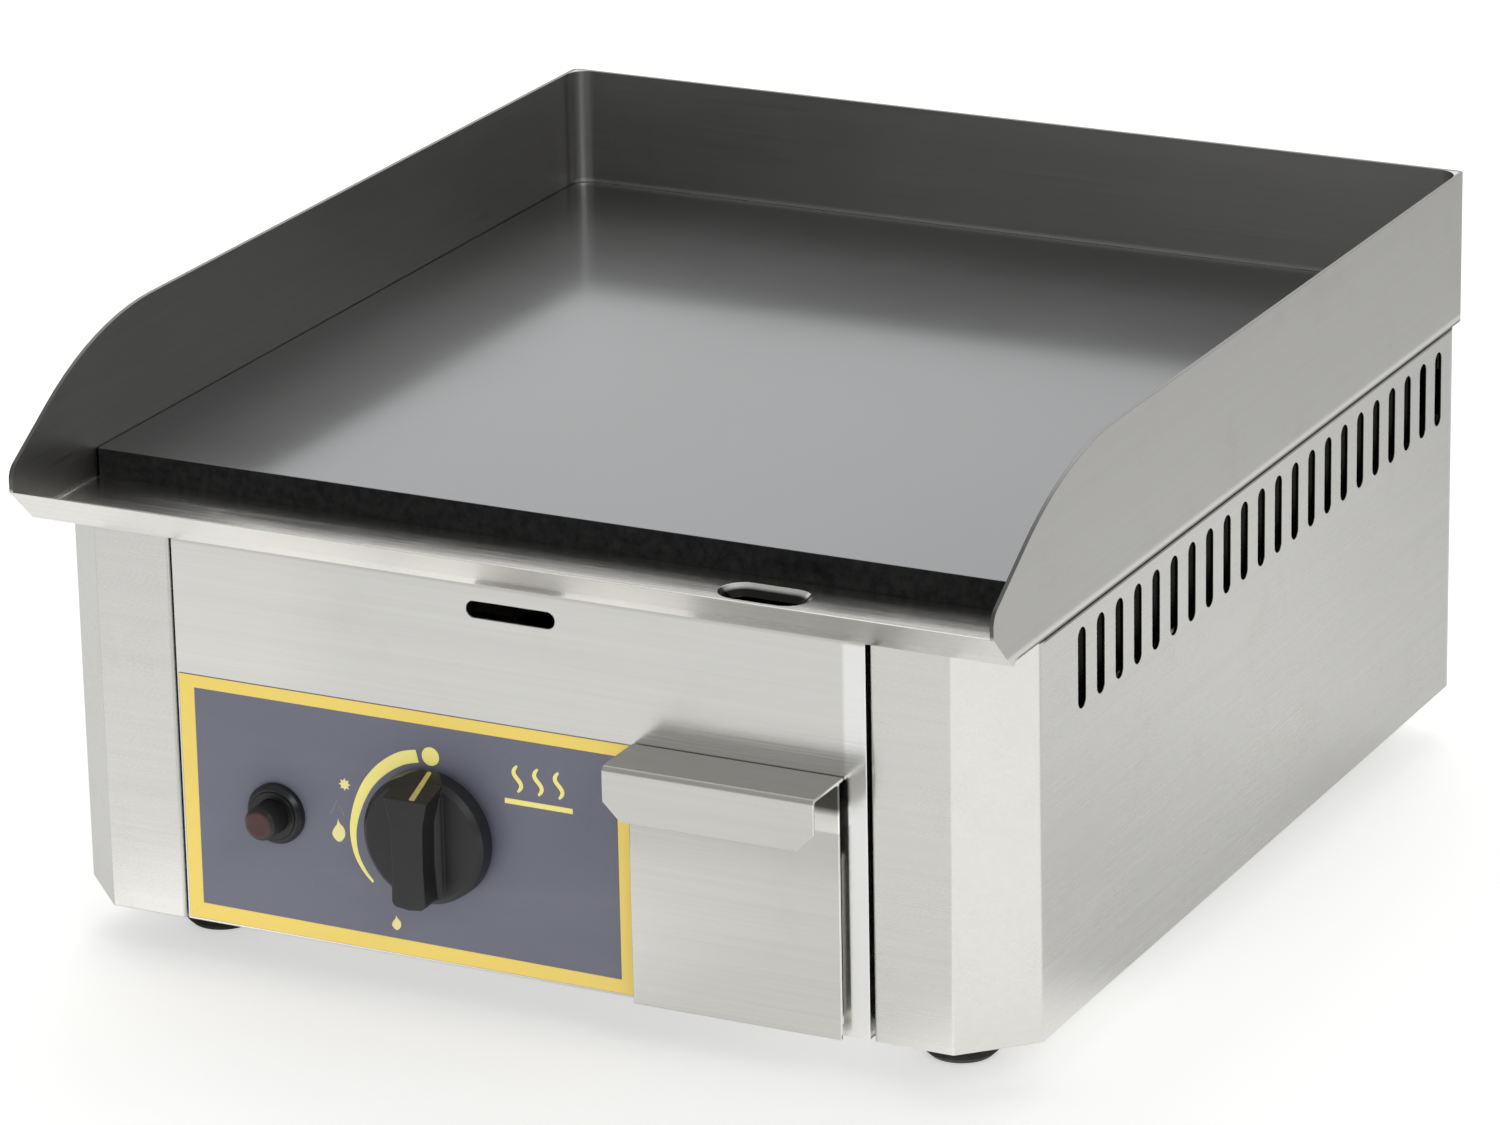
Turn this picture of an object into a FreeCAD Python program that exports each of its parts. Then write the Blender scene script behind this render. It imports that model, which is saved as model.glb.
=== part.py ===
import FreeCAD, Part
import math
import os
import Sketcher

# Countertop gas griddle with one burner.
# Frame: +X to the right, +Y to the back, +Z up. The origin is the centre of the underside of the
# whole object, in the plane the feet stand on. Millimetres.
# Pieces are placed from the casing datum: x = 0, the fascia's front face, the casing's underside.

Vector = FreeCAD.Vector
doc = FreeCAD.newDocument("gas_griddle")
sheet = doc.addObject("Spreadsheet::Sheet", "dims")
sheet.Label = "dims"


class Size:
    """A size: its number, and the expression over the sheet that gives it."""

    def __init__(self, value, text):
        self.value = float(value)
        self.text = text

    @staticmethod
    def of(number):
        return number if isinstance(number, Size) else Size(number, "%.6g" % number)

    def __add__(self, other):
        other = Size.of(other)
        return Size(self.value + other.value, "(%s + %s)" % (self.text, other.text))

    def __radd__(self, other):
        return Size.of(other) + self

    def __sub__(self, other):
        other = Size.of(other)
        return Size(self.value - other.value, "(%s - %s)" % (self.text, other.text))

    def __rsub__(self, other):
        return Size.of(other) - self

    def __mul__(self, other):
        other = Size.of(other)
        return Size(self.value * other.value, "(%s * %s)" % (self.text, other.text))

    def __rmul__(self, other):
        return Size.of(other) * self

    def __truediv__(self, other):
        other = Size.of(other)
        return Size(self.value / other.value, "(%s / %s)" % (self.text, other.text))

    def __neg__(self):
        return Size(-self.value, "(0 - %s)" % self.text)


sheet_aliases = []


def dim(alias, value):
    """Writes a driving dimension on the next row of the sheet."""
    sheet_aliases.append(alias)
    row = len(sheet_aliases)
    sheet.set("A%d" % row, alias.replace("_", " "))
    sheet.set("B%d" % row, "%.6g" % value)
    sheet.setAlias("B%d" % row, alias)
    return Size(value, "dims.%s" % alias)


# ---------------------------------------------------------------- driving dimensions
fascia_y = dim("fascia_y", -212.5)
foot_height = dim("foot_height", 20)
gauge = dim("sheet_thickness", 1.2)
hood_gauge = dim("hood_sheet", 1.5)
# hood
hood_half = dim("hood_half_width", 200)
hood_back = dim("hood_back", 431.5)
hood_low = dim("hood_lower_edge", 153.5)
hood_top = dim("hood_top", 215)
nose_y = dim("lip_nose_y", -17.5)
nose_z = dim("lip_nose_z", 167)
lip_low = dim("lip_lower_edge", 152.4)
lip_low_y = dim("lip_lower_edge_y", -2.6)
sweep_radius = dim("wall_sweep_radius", 145)
sweep_y = dim("wall_sweep_corner_y", 45.26)
nose_radius = dim("wall_nose_radius", 7)
nose_corner_z = dim("wall_nose_corner_z", 175.45)
floor_z = dim("gutter_floor", 155)
outer_corner = dim("hood_outer_corner_radius", 3)
inner_corner = dim("hood_inner_corner_radius", 8.5)
opening_half = dim("plate_opening_half", 183)
opening_front = dim("plate_opening_front", 55)
opening_back = dim("plate_opening_back", 415)
drain_x = dim("drain_x", 91)
drain_y = dim("drain_y", 24)
drain_length = dim("drain_length", 36)
drain_width = dim("drain_width", 18)
drain_drop = dim("drain_flange_drop", 8)
funnel_depth = dim("drain_funnel_depth", 4)
# plate
plate_half = dim("plate_half_width", 198.1)
plate_front = dim("plate_front", 41)
plate_back = dim("plate_back", 429.6)
plate_thickness = dim("plate_thickness", 11.5)
plate_corner = dim("plate_back_corner", 10)
# casing
side_half = dim("casing_half_width", 199)
case_back = dim("casing_back", 431)
panel_top = dim("panel_top", 152.1)
chamfer = dim("corner_chamfer", 24)
return_x = dim("front_return_inner", 143.3)
return_depth = dim("return_flange_depth", 12)
rear_flange = dim("rear_flange_inner", 180)
bend_radius = dim("bend_radius", 2)
rear_radius = dim("rear_bend_radius", 10)
vent_first = dim("vent_first", 59.4)
vent_run = dim("vent_run", 348.3)
vent_count = dim("vent_count", 22)
vent_z = dim("vent_centre_height", 131)
vent_length = dim("vent_length", 30.7)
vent_width = dim("vent_width", 7)
# casing screws, in a row down each side
screw_x = dim("casing_screw_x", 188)
screw_radius = dim("casing_screw_radius", 2)
screw_head_radius = dim("casing_screw_head_radius", 3.6)
screw_head = dim("screw_head_height", 2.2)
BACK_SCREW_Z = (15, 76, 138)
BASE_SCREW_Y = (70, 215, 360)
# fascia
fascia_half = dim("fascia_half_width", 142)
fascia_top = dim("fascia_top", 151.7)
fascia_low = dim("fascia_lower_edge", 0.3)
view_z = dim("viewing_slot_height", 141.9)
view_length = dim("viewing_slot_length", 36.5)
view_width = dim("viewing_slot_width", 6.5)
label_left = dim("label_left", -141.2)
label_right = dim("label_right", 47.5)
label_low = dim("label_low", 1.2)
label_high = dim("label_high", 99)
label_thickness = dim("label_thickness", 0.3)
# knob and gas tap, on one axis
knob_x = dim("knob_x", -34)
knob_z = dim("knob_z", 52.5)
knob_radius = dim("knob_radius", 25.4)
knob_gap = dim("knob_gap", 3.5)
knob_disc = dim("knob_disc_thickness", 8)
knob_grip = dim("knob_grip_front", 22)
grip_width = dim("knob_grip_width", 12.8)
stem_radius = dim("stem_radius", 4)
stem_front = dim("stem_front", -15)
clearance = dim("running_clearance", 0.05)
tap_front = dim("tap_boss_front", 16)
tap_block = dim("tap_block_front", 24)
tap_rear = dim("tap_block_rear", 62)
boss_radius = dim("tap_boss_radius", 9)
outlet_y = dim("tap_outlet_y", 40)
inlet_y = dim("tap_inlet_y", 54)
plug_front = dim("plug_front", 26)
plug_rear = dim("plug_rear", 48)
plug_large = dim("plug_large_radius", 9)
plug_small = dim("plug_small_radius", 7)
rod_radius = dim("safety_rod_radius", 1.5)
bracket_screw_x = dim("bracket_screw_offset", 12.5)
bracket_screw_radius = dim("bracket_screw_radius", 1.5)
# igniter
ign_x = dim("igniter_x", -101)
ign_z = dim("igniter_z", 49.5)
ign_barrel = dim("igniter_barrel_radius", 9.25)
ign_bezel = dim("igniter_bezel_radius", 11.75)
ign_button = dim("igniter_button_radius", 6.4)
ign_out = dim("igniter_button_front", 15)
# drawer
drawer_x = dim("drawer_centre_x", 91)
drawer_half = dim("drawer_front_half", 42)
drawer_low = dim("drawer_front_low", 0.5)
drawer_top = dim("drawer_front_top", 100)
drawer_proud = dim("drawer_front_proud", 5)
handle_out = dim("handle_out", 25)
handle_low = dim("handle_low", 79.5)
handle_cut = dim("handle_corner_cut", 7)
box_half = dim("drawer_box_half", 38.5)
box_low = dim("drawer_box_low", 6)
box_high = dim("drawer_box_high", 68)
box_end = dim("drawer_box_length", 300)
# burner
burn_z = dim("burner_axis_height", 100)
burn_pitch = dim("burner_branch_pitch", 75)
burn_radius = dim("burner_branch_radius", 11)
burn_front = dim("burner_manifold_y", 140)
burn_end = dim("burner_branch_end", 362)
manifold_radius = dim("burner_manifold_radius", 15)
manifold_reach = dim("manifold_past_branch", 16)
venturi_radius = dim("venturi_radius", 12)
venturi_y = dim("venturi_mouth", 84)
tube_wall = dim("burner_wall", 1.2)
rail_z = dim("rail_top", 89)
rail_height = dim("rail_height", 12)
rail_width = dim("rail_width", 26)
front_rail_y = dim("front_rail_y", 192.5)
rear_rail_y = dim("rear_rail_y", 340)
# gas line
gas_x = dim("gas_inlet_x", -150)
gas_z = dim("gas_inlet_height", 24)
gas_thread = dim("gas_thread_radius", 10.475)
gas_neck = dim("gas_thread_relief_radius", 9.4)
gas_end = dim("gas_thread_end", 450)
gas_bore = dim("gas_bore_radius", 4)
locknut = dim("locknut_thickness", 5)
# feet
foot_x = dim("foot_x", 156)
foot_front_y = dim("foot_front_y", 47.5)
foot_rear_y = dim("foot_rear_y", 383.5)
foot_radius = dim("foot_radius", 14)
foot_screw_radius = dim("foot_screw_radius", 3)
doc.recompute()

# the base pan lies on the side panels' turned-in feet
pan_top = gauge * 2
# name, side, y
FEET = (
    ("front_left_foot", -1, foot_front_y), ("front_right_foot", 1, foot_front_y),
    ("rear_left_foot", -1, foot_rear_y), ("rear_right_foot", 1, foot_rear_y))

# ---------------------------------------------------------------- documents and sketches
made = []
removals = []


def note(piece_object, label):
    """Labels an object and lists it for export."""
    piece_object.Label = label
    made.append(piece_object)
    return piece_object


def bind(target, path, size):
    target.setExpression(path, Size.of(size).text)


def place(target, x=0, y=0, z=0):
    """The object's own origin, given from the casing datum."""
    bind(target, "Placement.Base.x", x)
    bind(target, "Placement.Base.y", fascia_y + y)
    bind(target, "Placement.Base.z", foot_height + z)


def piece(label, x=0, y=0, z=0):
    body = note(doc.addObject("PartDesign::Body", label), label)
    place(body, x, y, z)
    return body


def origin_feature(body, role):
    for feature in body.Origin.OriginFeatures:
        if feature.Role == role:
            return feature


def drive(sketch, kind, size, *refs):
    """A dimension in a sketch, bound to its expression."""
    index = sketch.addConstraint(Sketcher.Constraint(kind, *refs, size.value))
    sketch.setExpression("Constraints[%d]" % index, size.text)


def relate(sketch, kind, *refs):
    sketch.addConstraint(Sketcher.Constraint(kind, *refs))


def fix(sketch, geo, pos, x, y):
    """Ties one point to its place, by two distances from the sketch's origin."""
    for kind, axis, size in (("DistanceX", -2, Size.of(x)), ("DistanceY", -1, Size.of(y))):
        if abs(size.value) < 1e-9 and size.text in ("0", "-0"):
            relate(sketch, "PointOnObject", geo, pos, axis)
        else:
            drive(sketch, kind, size, -1, 1, geo, pos)


def circle_at(centre, radius):
    return Part.Circle(centre, Vector(0, 0, 1), radius.value)


def draw_circle(sketch, x, y, radius):
    x, y, radius = Size.of(x), Size.of(y), Size.of(radius)
    geo = sketch.addGeometry(circle_at(Vector(x.value, y.value, 0), radius), False)
    fix(sketch, geo, 3, x, y)
    drive(sketch, "Radius", radius, geo)


def draw_slot(sketch, x, y, length, width, upright=False):
    """A slot with round ends, by its centre, whole length and width."""
    x, y, length, width = Size.of(x), Size.of(y), Size.of(length), Size.of(width)
    half, radius = (length - width) / 2, width / 2
    if upright:
        centres = ((x, y - half), (x, y + half))
        angles = ((math.pi, 2 * math.pi), (0, math.pi))
        side = Vector(radius.value, 0, 0)
    else:
        centres = ((x - half, y), (x + half, y))
        angles = ((math.pi / 2, 3 * math.pi / 2), (-math.pi / 2, math.pi / 2))
        side = Vector(0, -radius.value, 0)
    first, last = [Vector(centre[0].value, centre[1].value, 0) for centre in centres]
    arcs = [sketch.addGeometry(Part.ArcOfCircle(circle_at(point, radius), *span), False)
            for point, span in zip((first, last), angles)]
    out = sketch.addGeometry(Part.LineSegment(first + side, last + side), False)
    back = sketch.addGeometry(Part.LineSegment(last - side, first - side), False)
    around = (arcs[0], out, arcs[1], back, arcs[0])
    for geo, following in zip(around, around[1:]):
        relate(sketch, "Tangent", geo, 2, following, 1)
    for arc, centre in zip(arcs, centres):
        fix(sketch, arc, 3, *centre)
    for arc in arcs:
        drive(sketch, "Radius", radius, arc)


def corner_ends(corner, before, after, radius):
    """Where a rounded corner's arc starts and ends, and its centre."""
    to_before, to_after = (before - corner).normalize(), (after - corner).normalize()
    half = math.acos(max(-1, min(1, to_before.dot(to_after)))) / 2
    cut_back = radius / math.tan(half)
    centre = corner + (to_before + to_after).normalize() * (radius / math.sin(half))
    return corner + to_before * cut_back, corner + to_after * cut_back, centre


def draw_corner(sketch, point, corner, ends, before, after):
    """The arc between two lines, with a construction point where the lines would meet."""
    start, end, centre = ends
    angle_start = math.atan2(start.y - centre.y, start.x - centre.x)
    angle_end = math.atan2(end.y - centre.y, end.x - centre.x)
    turns_left = (angle_end - angle_start) % (2 * math.pi) < math.pi
    low, high = (angle_start, angle_end) if turns_left else (angle_end, angle_start)
    if high < low:
        high += 2 * math.pi
    arc = sketch.addGeometry(Part.ArcOfCircle(circle_at(centre, point[2]), low, high), False)
    first, last = (1, 2) if turns_left else (2, 1)
    relate(sketch, "Tangent", before, 2, arc, first)
    relate(sketch, "Tangent", arc, last, after, 1)
    drive(sketch, "Radius", point[2], arc)
    dot = sketch.addGeometry(Part.Point(corner), True)
    fix(sketch, dot, 1, point[0], point[1])
    relate(sketch, "PointOnObject", dot, 1, before)
    relate(sketch, "PointOnObject", dot, 1, after)


def draw_poly(sketch, points, closed=True):
    """A polygon by its corners (x, y) or (x, y, radius): with a radius the corner is rounded."""
    points = [tuple(Size.of(number) for number in point) for point in points]
    total = len(points)
    corners = [Vector(point[0].value, point[1].value, 0) for point in points]
    ends = []
    for i, point in enumerate(points):
        if len(point) == 3:
            ends.append(corner_ends(corners[i], corners[i - 1], corners[(i + 1) % total],
                                    point[2].value))
        else:
            ends.append((corners[i], corners[i], None))
    count = total if closed else total - 1
    lines = [sketch.addGeometry(Part.LineSegment(ends[i][1], ends[(i + 1) % total][0]), False)
             for i in range(count)]
    for i, point in enumerate(points):
        before = lines[i - 1] if closed or i > 0 else None
        after = lines[i] if i < count else None
        if len(point) == 3:
            draw_corner(sketch, point, corners[i], ends[i], before, after)
        elif after is None:
            fix(sketch, before, 2, point[0], point[1])
        else:
            if before is not None:
                relate(sketch, "Coincident", before, 2, after, 1)
            fix(sketch, after, 1, point[0], point[1])


def draw_rect(sketch, x0, y0, x1, y1, radius=None):
    corners = [(x0, y0), (x1, y0), (x1, y1), (x0, y1)]
    if radius is not None:
        corners = [corner + (radius,) for corner in corners]
    draw_poly(sketch, corners)


DRAW = {"circle": draw_circle, "slot": draw_slot, "poly": draw_poly, "rect": draw_rect}
NORMAL = {"XY": 1, "XZ": -1, "YZ": 1}


def sketch_on(body, plane, offset, *loops):
    """A sketch on one of the body's own planes. Local axes: XY gives X, Y; XZ gives X, Z with
    the normal to -Y; YZ gives Y, Z with the normal to +X. A loop is its kind and its sizes."""
    sketch = body.newObject("Sketcher::SketchObject", body.Name + "_outline")
    sketch.AttachmentSupport = [(origin_feature(body, plane + "_Plane"), "")]
    sketch.MapMode = "FlatFace"
    if offset is not None:
        offset = Size.of(offset)
        bind(sketch, "AttachmentOffset.Base.z", -offset if plane == "XZ" else offset)
    for kind, *sizes in loops:
        DRAW[kind](sketch, *sizes)
    return sketch


# ---------------------------------------------------------------- features and plain solids
def pad(body, plane, start, end, *loops):
    """Material between two stations along the plane's world axis, start below end."""
    sketch = sketch_on(body, plane, start, *loops)
    feature = body.newObject("PartDesign::Pad", body.Name + "_pad")
    feature.Profile = sketch
    bind(feature, "Length", Size.of(end) - start)
    feature.Reversed = NORMAL[plane] < 0
    sketch.Visibility = False


def pocket(body, plane, start, end, *loops):
    """Removes what lies between two stations along the plane's world axis, start below end."""
    sketch = sketch_on(body, plane, start, *loops)
    feature = body.newObject("PartDesign::Pocket", body.Name + "_pocket")
    feature.Profile = sketch
    bind(feature, "Length", Size.of(end) - start)
    feature.Reversed = NORMAL[plane] > 0
    sketch.Visibility = False
    removals.append(feature)
    return feature


def rows(body, feature, axis, length, count):
    """Repeats a feature evenly over a length along one of the body's axes."""
    pattern = body.newObject("PartDesign::LinearPattern", body.Name + "_rows")
    pattern.Originals = [feature]
    pattern.Direction = (origin_feature(body, axis + "_Axis"), [""])
    bind(pattern, "Length", length)
    bind(pattern, "Occurrences", count)
    body.Tip = pattern


def revolve(body, axis, points, groove=False):
    """Turns a (y, z) outline about the sketch's H axis (along Y) or V axis (along Z)."""
    sketch = sketch_on(body, "YZ", None, ("poly", points))
    kind = "PartDesign::Groove" if groove else "PartDesign::Revolution"
    feature = body.newObject(kind, body.Name + "_turn")
    feature.Profile = sketch
    feature.ReferenceAxis = (sketch, [axis + "_Axis"])
    feature.Angle = 360
    sketch.Visibility = False
    if groove:
        removals.append(feature)


def turned(label, x, y, z, axis, points):
    """A piece that starts as one turned outline."""
    body = piece(label, x, y, z)
    revolve(body, axis, points)
    return body


def pipe(body, plane, offset, path, section_plane, start, section):
    """A round bar along a flat path with rounded bends."""
    spine = sketch_on(body, plane, offset, ("poly", path, False))
    profile = sketch_on(body, section_plane, start, section)
    feature = body.newObject("PartDesign::AdditivePipe", body.Name + "_run")
    feature.Profile = profile
    # the spine's edges exist only once it is computed
    doc.recompute()
    feature.Spine = (spine, ["Edge%d" % (i + 1) for i in range(len(spine.Shape.Edges))])
    feature.Mode = "Standard"
    spine.Visibility = profile.Visibility = False


def cylinder(name, x, y, z, radius, length, axis="Z"):
    """A plain round bar from a point given from the casing datum."""
    bar = doc.addObject("Part::Cylinder", name)
    bind(bar, "Radius", radius)
    bind(bar, "Height", length)
    if axis == "Y":
        bar.Placement = FreeCAD.Placement(Vector(), FreeCAD.Rotation(Vector(1, 0, 0), -90))
    place(bar, x, y, z)
    return bar


def block(name, x, y, z, length, width, height):
    """A plain box from its left, front, lower corner."""
    box = doc.addObject("Part::Box", name)
    bind(box, "Length", length)
    bind(box, "Width", width)
    bind(box, "Height", height)
    place(box, x, y, z)
    return box


def fuse(name, *shapes):
    union = doc.addObject("Part::MultiFuse", name)
    union.Shapes = list(shapes)
    return union


def cut(name, base, tool):
    difference = doc.addObject("Part::Cut", name)
    difference.Base, difference.Tool = base, tool
    return difference


def group(label, shapes):
    compound = doc.addObject("Part::Compound", label)
    compound.Links = list(shapes)
    note(compound, label)


def screw(name, axis, x, y, z, shank, head):
    """A screw along Y or Z; shank and head are (start along the axis, radius, length)."""
    bars = []
    for part, (start, radius, length) in (("shank", shank), ("head", head)):
        bar_y, bar_z = (y + start, z) if axis == "Y" else (y, z + start)
        bars.append(cylinder("%s_%s" % (name, part), x, bar_y, bar_z, radius, length, axis))
    return fuse(name, *bars)


def spring(label, x, y, z, length, turns, radius, wire_radius):
    """A coil spring along Y from a point given from the casing datum."""
    helix = doc.addObject("Part::Helix", label + "_helix")
    bind(helix, "Height", length)
    bind(helix, "Pitch", Size.of(length) / turns)
    bind(helix, "Radius", radius)
    wire = doc.addObject("Part::Circle", label + "_wire")
    bind(wire, "Radius", wire_radius)
    wire.Placement = FreeCAD.Placement(Vector(), FreeCAD.Rotation(Vector(1, 0, 0), 90))
    bind(wire, "Placement.Base.x", radius)
    coil = doc.addObject("Part::Sweep", label)
    coil.Sections = [wire]
    coil.Spine = (helix, ["Edge1"])
    coil.Solid = True
    coil.Frenet = True
    coil.Placement = FreeCAD.Placement(Vector(), FreeCAD.Rotation(Vector(1, 0, 0), -90))
    place(coil, x, y, z)
    note(coil, label)


def to_side(points, side):
    """An outline drawn for the right side (1), or mirrored for the left (-1)."""
    if side > 0:
        return points
    return [(Size.of(point[0]) * side,) + tuple(point[1:]) for point in points]


def hexagon(radius):
    angles = [math.radians(60 * i) for i in range(6)]
    return [(radius * math.cos(angle), radius * math.sin(angle)) for angle in angles]


# ---------------------------------------------------------------- hood: walls, gutter and lip
def upright_edges(shape, x, y, tolerance=0.3):
    """Names of the vertical straight edges that stand at a given plan point."""
    names = []
    for i, edge in enumerate(shape.Edges):
        low, high = edge.Vertexes[0].Point, edge.Vertexes[-1].Point
        is_upright = abs(low.x - high.x) < 1e-6 and abs(low.y - high.y) < 1e-6
        if is_upright and abs(low.x - x) < tolerance and abs(low.y - y) < tolerance:
            names.append("Edge%d" % (i + 1))
    return names


def round_uprights(body, name, half, y, radius):
    """Rounds the upright edges at y on both sides."""
    doc.recompute()
    tip = body.Tip
    edges = []
    for side in (1, -1):
        edges += upright_edges(tip.Shape, side * half.value, y.value)
    fillet = body.newObject("PartDesign::Fillet", name)
    fillet.Base = (tip, edges)
    bind(fillet, "Radius", radius)


def drain(body):
    """A funnel-shaped rim in the gutter floor that runs into a short tube."""
    tube_length = drain_length - funnel_depth * 2
    tube_width = drain_width - funnel_depth * 2
    tube = ("slot", drain_x, drain_y, tube_length, tube_width)
    tube_low = floor_z - hood_gauge - drain_drop
    cone_low = floor_z - funnel_depth
    pad(body, "XY", cone_low - 1.2, floor_z - 0.2,
        ("slot", drain_x, drain_y, drain_length + 2, drain_width + 2))
    pad(body, "XY", tube_low, cone_low - 0.2,
        ("slot", drain_x, drain_y, tube_length + 2.4, tube_width + 2.4))
    pocket(body, "XY", tube_low - 1, floor_z + 1, tube)
    funnel = pocket(body, "XY", cone_low, floor_z + 0.02, tube)
    funnel.TaperAngle = 45


def hood():
    body = piece("hood")
    inner_half = hood_half - hood_gauge
    inner_back = hood_back - hood_gauge
    # y, z, corner radius
    outside = [
        (hood_back, hood_low), (hood_back, hood_top), (sweep_y, hood_top, sweep_radius),
        (nose_y, nose_corner_z, nose_radius), (nose_y, nose_z), (lip_low_y, lip_low, 1.5),
        (-0.2, lip_low), (-0.2, hood_low)]
    pad(body, "YZ", -hood_half, hood_half, ("poly", outside))
    # space above the gutter and the plate
    pocket(body, "YZ", -inner_half, inner_half, ("poly", [
        (inner_back, floor_z), (inner_back, hood_top + 20), (nose_y - 20, hood_top + 20),
        (nose_y - 20, nose_z), (nose_y + 1.2, nose_z), (-2, floor_z)]))
    # opening that leaves a ledge for the plate
    pocket(body, "XY", floor_z - hood_gauge - 1, floor_z + 1,
           ("rect", -opening_half, opening_front, opening_half, opening_back, 6))
    drain(body)
    round_uprights(body, "hood_outer_bends", hood_half, hood_back, outer_corner)
    round_uprights(body, "hood_inner_bends", inner_half, inner_back, inner_corner)


def hood_brackets():
    """Angles that carry the hood on the side panels."""
    arm_inner, leg_low = 184, 138
    wall_inside = side_half - gauge
    # side, y, width along y
    stations = ((-1, 30, 20), (1, 30, 20), (-1, 412, 9), (1, 412, 9))
    angles = []
    for i, (side, y, width) in enumerate(stations):
        arm_x = arm_inner if side > 0 else -wall_inside
        leg_x = wall_inside - gauge if side > 0 else -wall_inside
        arm = block("angle_arm_%d" % i, arm_x, y, hood_low - gauge,
                    wall_inside - arm_inner, width, gauge)
        leg = block("angle_leg_%d" % i, leg_x, y, leg_low,
                    gauge, width, hood_low - gauge / 2 - leg_low)
        angles.append(fuse("angle_%d" % i, arm, leg))
    group("hood_brackets", angles)


def griddle_plate():
    body = piece("griddle_plate")
    pad(body, "XY", floor_z, floor_z + plate_thickness, ("poly", [
        (-plate_half, plate_front, 1), (plate_half, plate_front, 1),
        (plate_half, plate_back, plate_corner), (-plate_half, plate_back, plate_corner)]))


# ---------------------------------------------------------------- casing
def side_panel(label, side):
    body = piece(label)
    # how far a 45 degree bend's inner corner shifts, per unit of thickness
    shift = math.tan(math.radians(22.5)) * gauge
    inside_radius = bend_radius - gauge
    wall_inside = side_half - gauge
    # x, y, corner radius: outer face from front to back, then the inner face
    wall = [
        (return_x, return_depth), (return_x, 0, bend_radius),
        (side_half - chamfer, 0, bend_radius), (side_half, chamfer, bend_radius),
        (side_half, case_back, rear_radius), (rear_flange, case_back),
        (rear_flange, case_back - gauge), (wall_inside, case_back - gauge, rear_radius - gauge),
        (wall_inside, chamfer + shift, inside_radius),
        (side_half - chamfer - shift, gauge, inside_radius),
        (return_x + gauge, gauge, inside_radius), (return_x + gauge, return_depth)]
    pad(body, "XY", 0, panel_top, ("poly", to_side(wall, side)))
    # turned-in foot the base pan lies on, then the strip that joins it to the wall
    foot_front, foot_back = chamfer + 6, case_back - 14
    for first, second in ((wall_inside - 0.5, rear_flange), (wall_inside - 1, wall_inside + 0.6)):
        pad(body, "XY", 0, gauge, ("poly", to_side([
            (first, foot_front), (second, foot_front), (second, foot_back),
            (first, foot_back)], side)))
    vent_x = (side_half - 1.5) * side
    vent = pocket(body, "YZ", vent_x - 7.5, vent_x + 7.5,
                  ("slot", vent_first, vent_z, vent_length, vent_width, True))
    rows(body, vent, "Y", vent_run, vent_count)
    # screw holes: rear flange and foot
    pocket(body, "XZ", case_back - 3, case_back + 2,
           *[("circle", screw_x * side, z, screw_radius) for z in BACK_SCREW_Z])
    pocket(body, "XY", -1, 3,
           *[("circle", screw_x * side, y, screw_radius) for y in BASE_SCREW_Y])


def front_fascia():
    body = piece("front_fascia")
    pad(body, "XZ", 0, gauge, ("rect", -fascia_half, fascia_low, fascia_half, fascia_top))
    flange = [
        (fascia_half, gauge / 2), (fascia_half, return_depth),
        (fascia_half - gauge, return_depth), (fascia_half - gauge, gauge / 2)]
    for side in (-1, 1):
        pad(body, "XY", fascia_low, fascia_top, ("poly", to_side(flange, side)))
    # holes for the stem and the igniter, the viewing slot, the drawer opening
    pocket(body, "XZ", -1, gauge + 1,
           ("circle", knob_x, knob_z, 6), ("circle", ign_x, ign_z, ign_barrel),
           ("slot", 0, view_z, view_length, view_width),
           ("rect", drawer_x - box_half - 2, box_low - 2.4,
            drawer_x + box_half + 2, box_high + 4, 2))


def control_label():
    body = piece("control_label")
    pad(body, "XZ", -label_thickness, 0,
        ("rect", label_left, label_low, label_right, label_high),
        ("circle", knob_x, knob_z, 6.2), ("circle", ign_x, ign_z, ign_barrel))


def back_panel():
    body = piece("back_panel")
    half = side_half - 5
    pad(body, "XZ", case_back, case_back + gauge, ("rect", -half, 1, half, 152.5, 2))
    vent = pocket(body, "XZ", case_back - 1, case_back + 3, ("slot", -120, 128, 28, 5, True))
    rows(body, vent, "X", 240, 17)
    pocket(body, "XZ", case_back - 1, case_back + 3, ("circle", gas_x, gas_z, gas_neck),
           *[("circle", screw_x * side, z, screw_radius)
             for side in (-1, 1) for z in BACK_SCREW_Z])


def base_pan():
    body = piece("base_pan")
    corner_y, back_y = case_back - 14, case_back - 2
    pad(body, "XY", gauge, pan_top, ("poly", [
        (-172, 14), (172, 14), (194, 36), (194, corner_y), (182, back_y), (-182, back_y),
        (-194, corner_y), (-194, 36)]))
    air_slot = pocket(body, "XY", 0, 4, ("slot", -110, 250, 90, 8, True))
    rows(body, air_slot, "X", 126, 8)
    pocket(body, "XY", 0, 4,
           *[("circle", foot_x * side, y, foot_screw_radius)
             for side in (-1, 1) for y in (foot_front_y, foot_rear_y)],
           *[("circle", screw_x * side, y, screw_radius)
             for side in (-1, 1) for y in BASE_SCREW_Y])


def heat_shield():
    """Upright sheet in front of the burner bay, with a foot turned back along the pan."""
    body = piece("heat_shield")
    left, right, front = -140, 48, 104
    pad(body, "XZ", front, front + gauge, ("rect", left, pan_top, right, 84))
    pad(body, "XZ", front + gauge - 0.4, 118, ("rect", left, pan_top, right, pan_top + gauge))
    pocket(body, "XZ", front - 4, front + 4,
           ("circle", knob_x, knob_z, 3), ("circle", ign_x, ign_z, 4))


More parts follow.
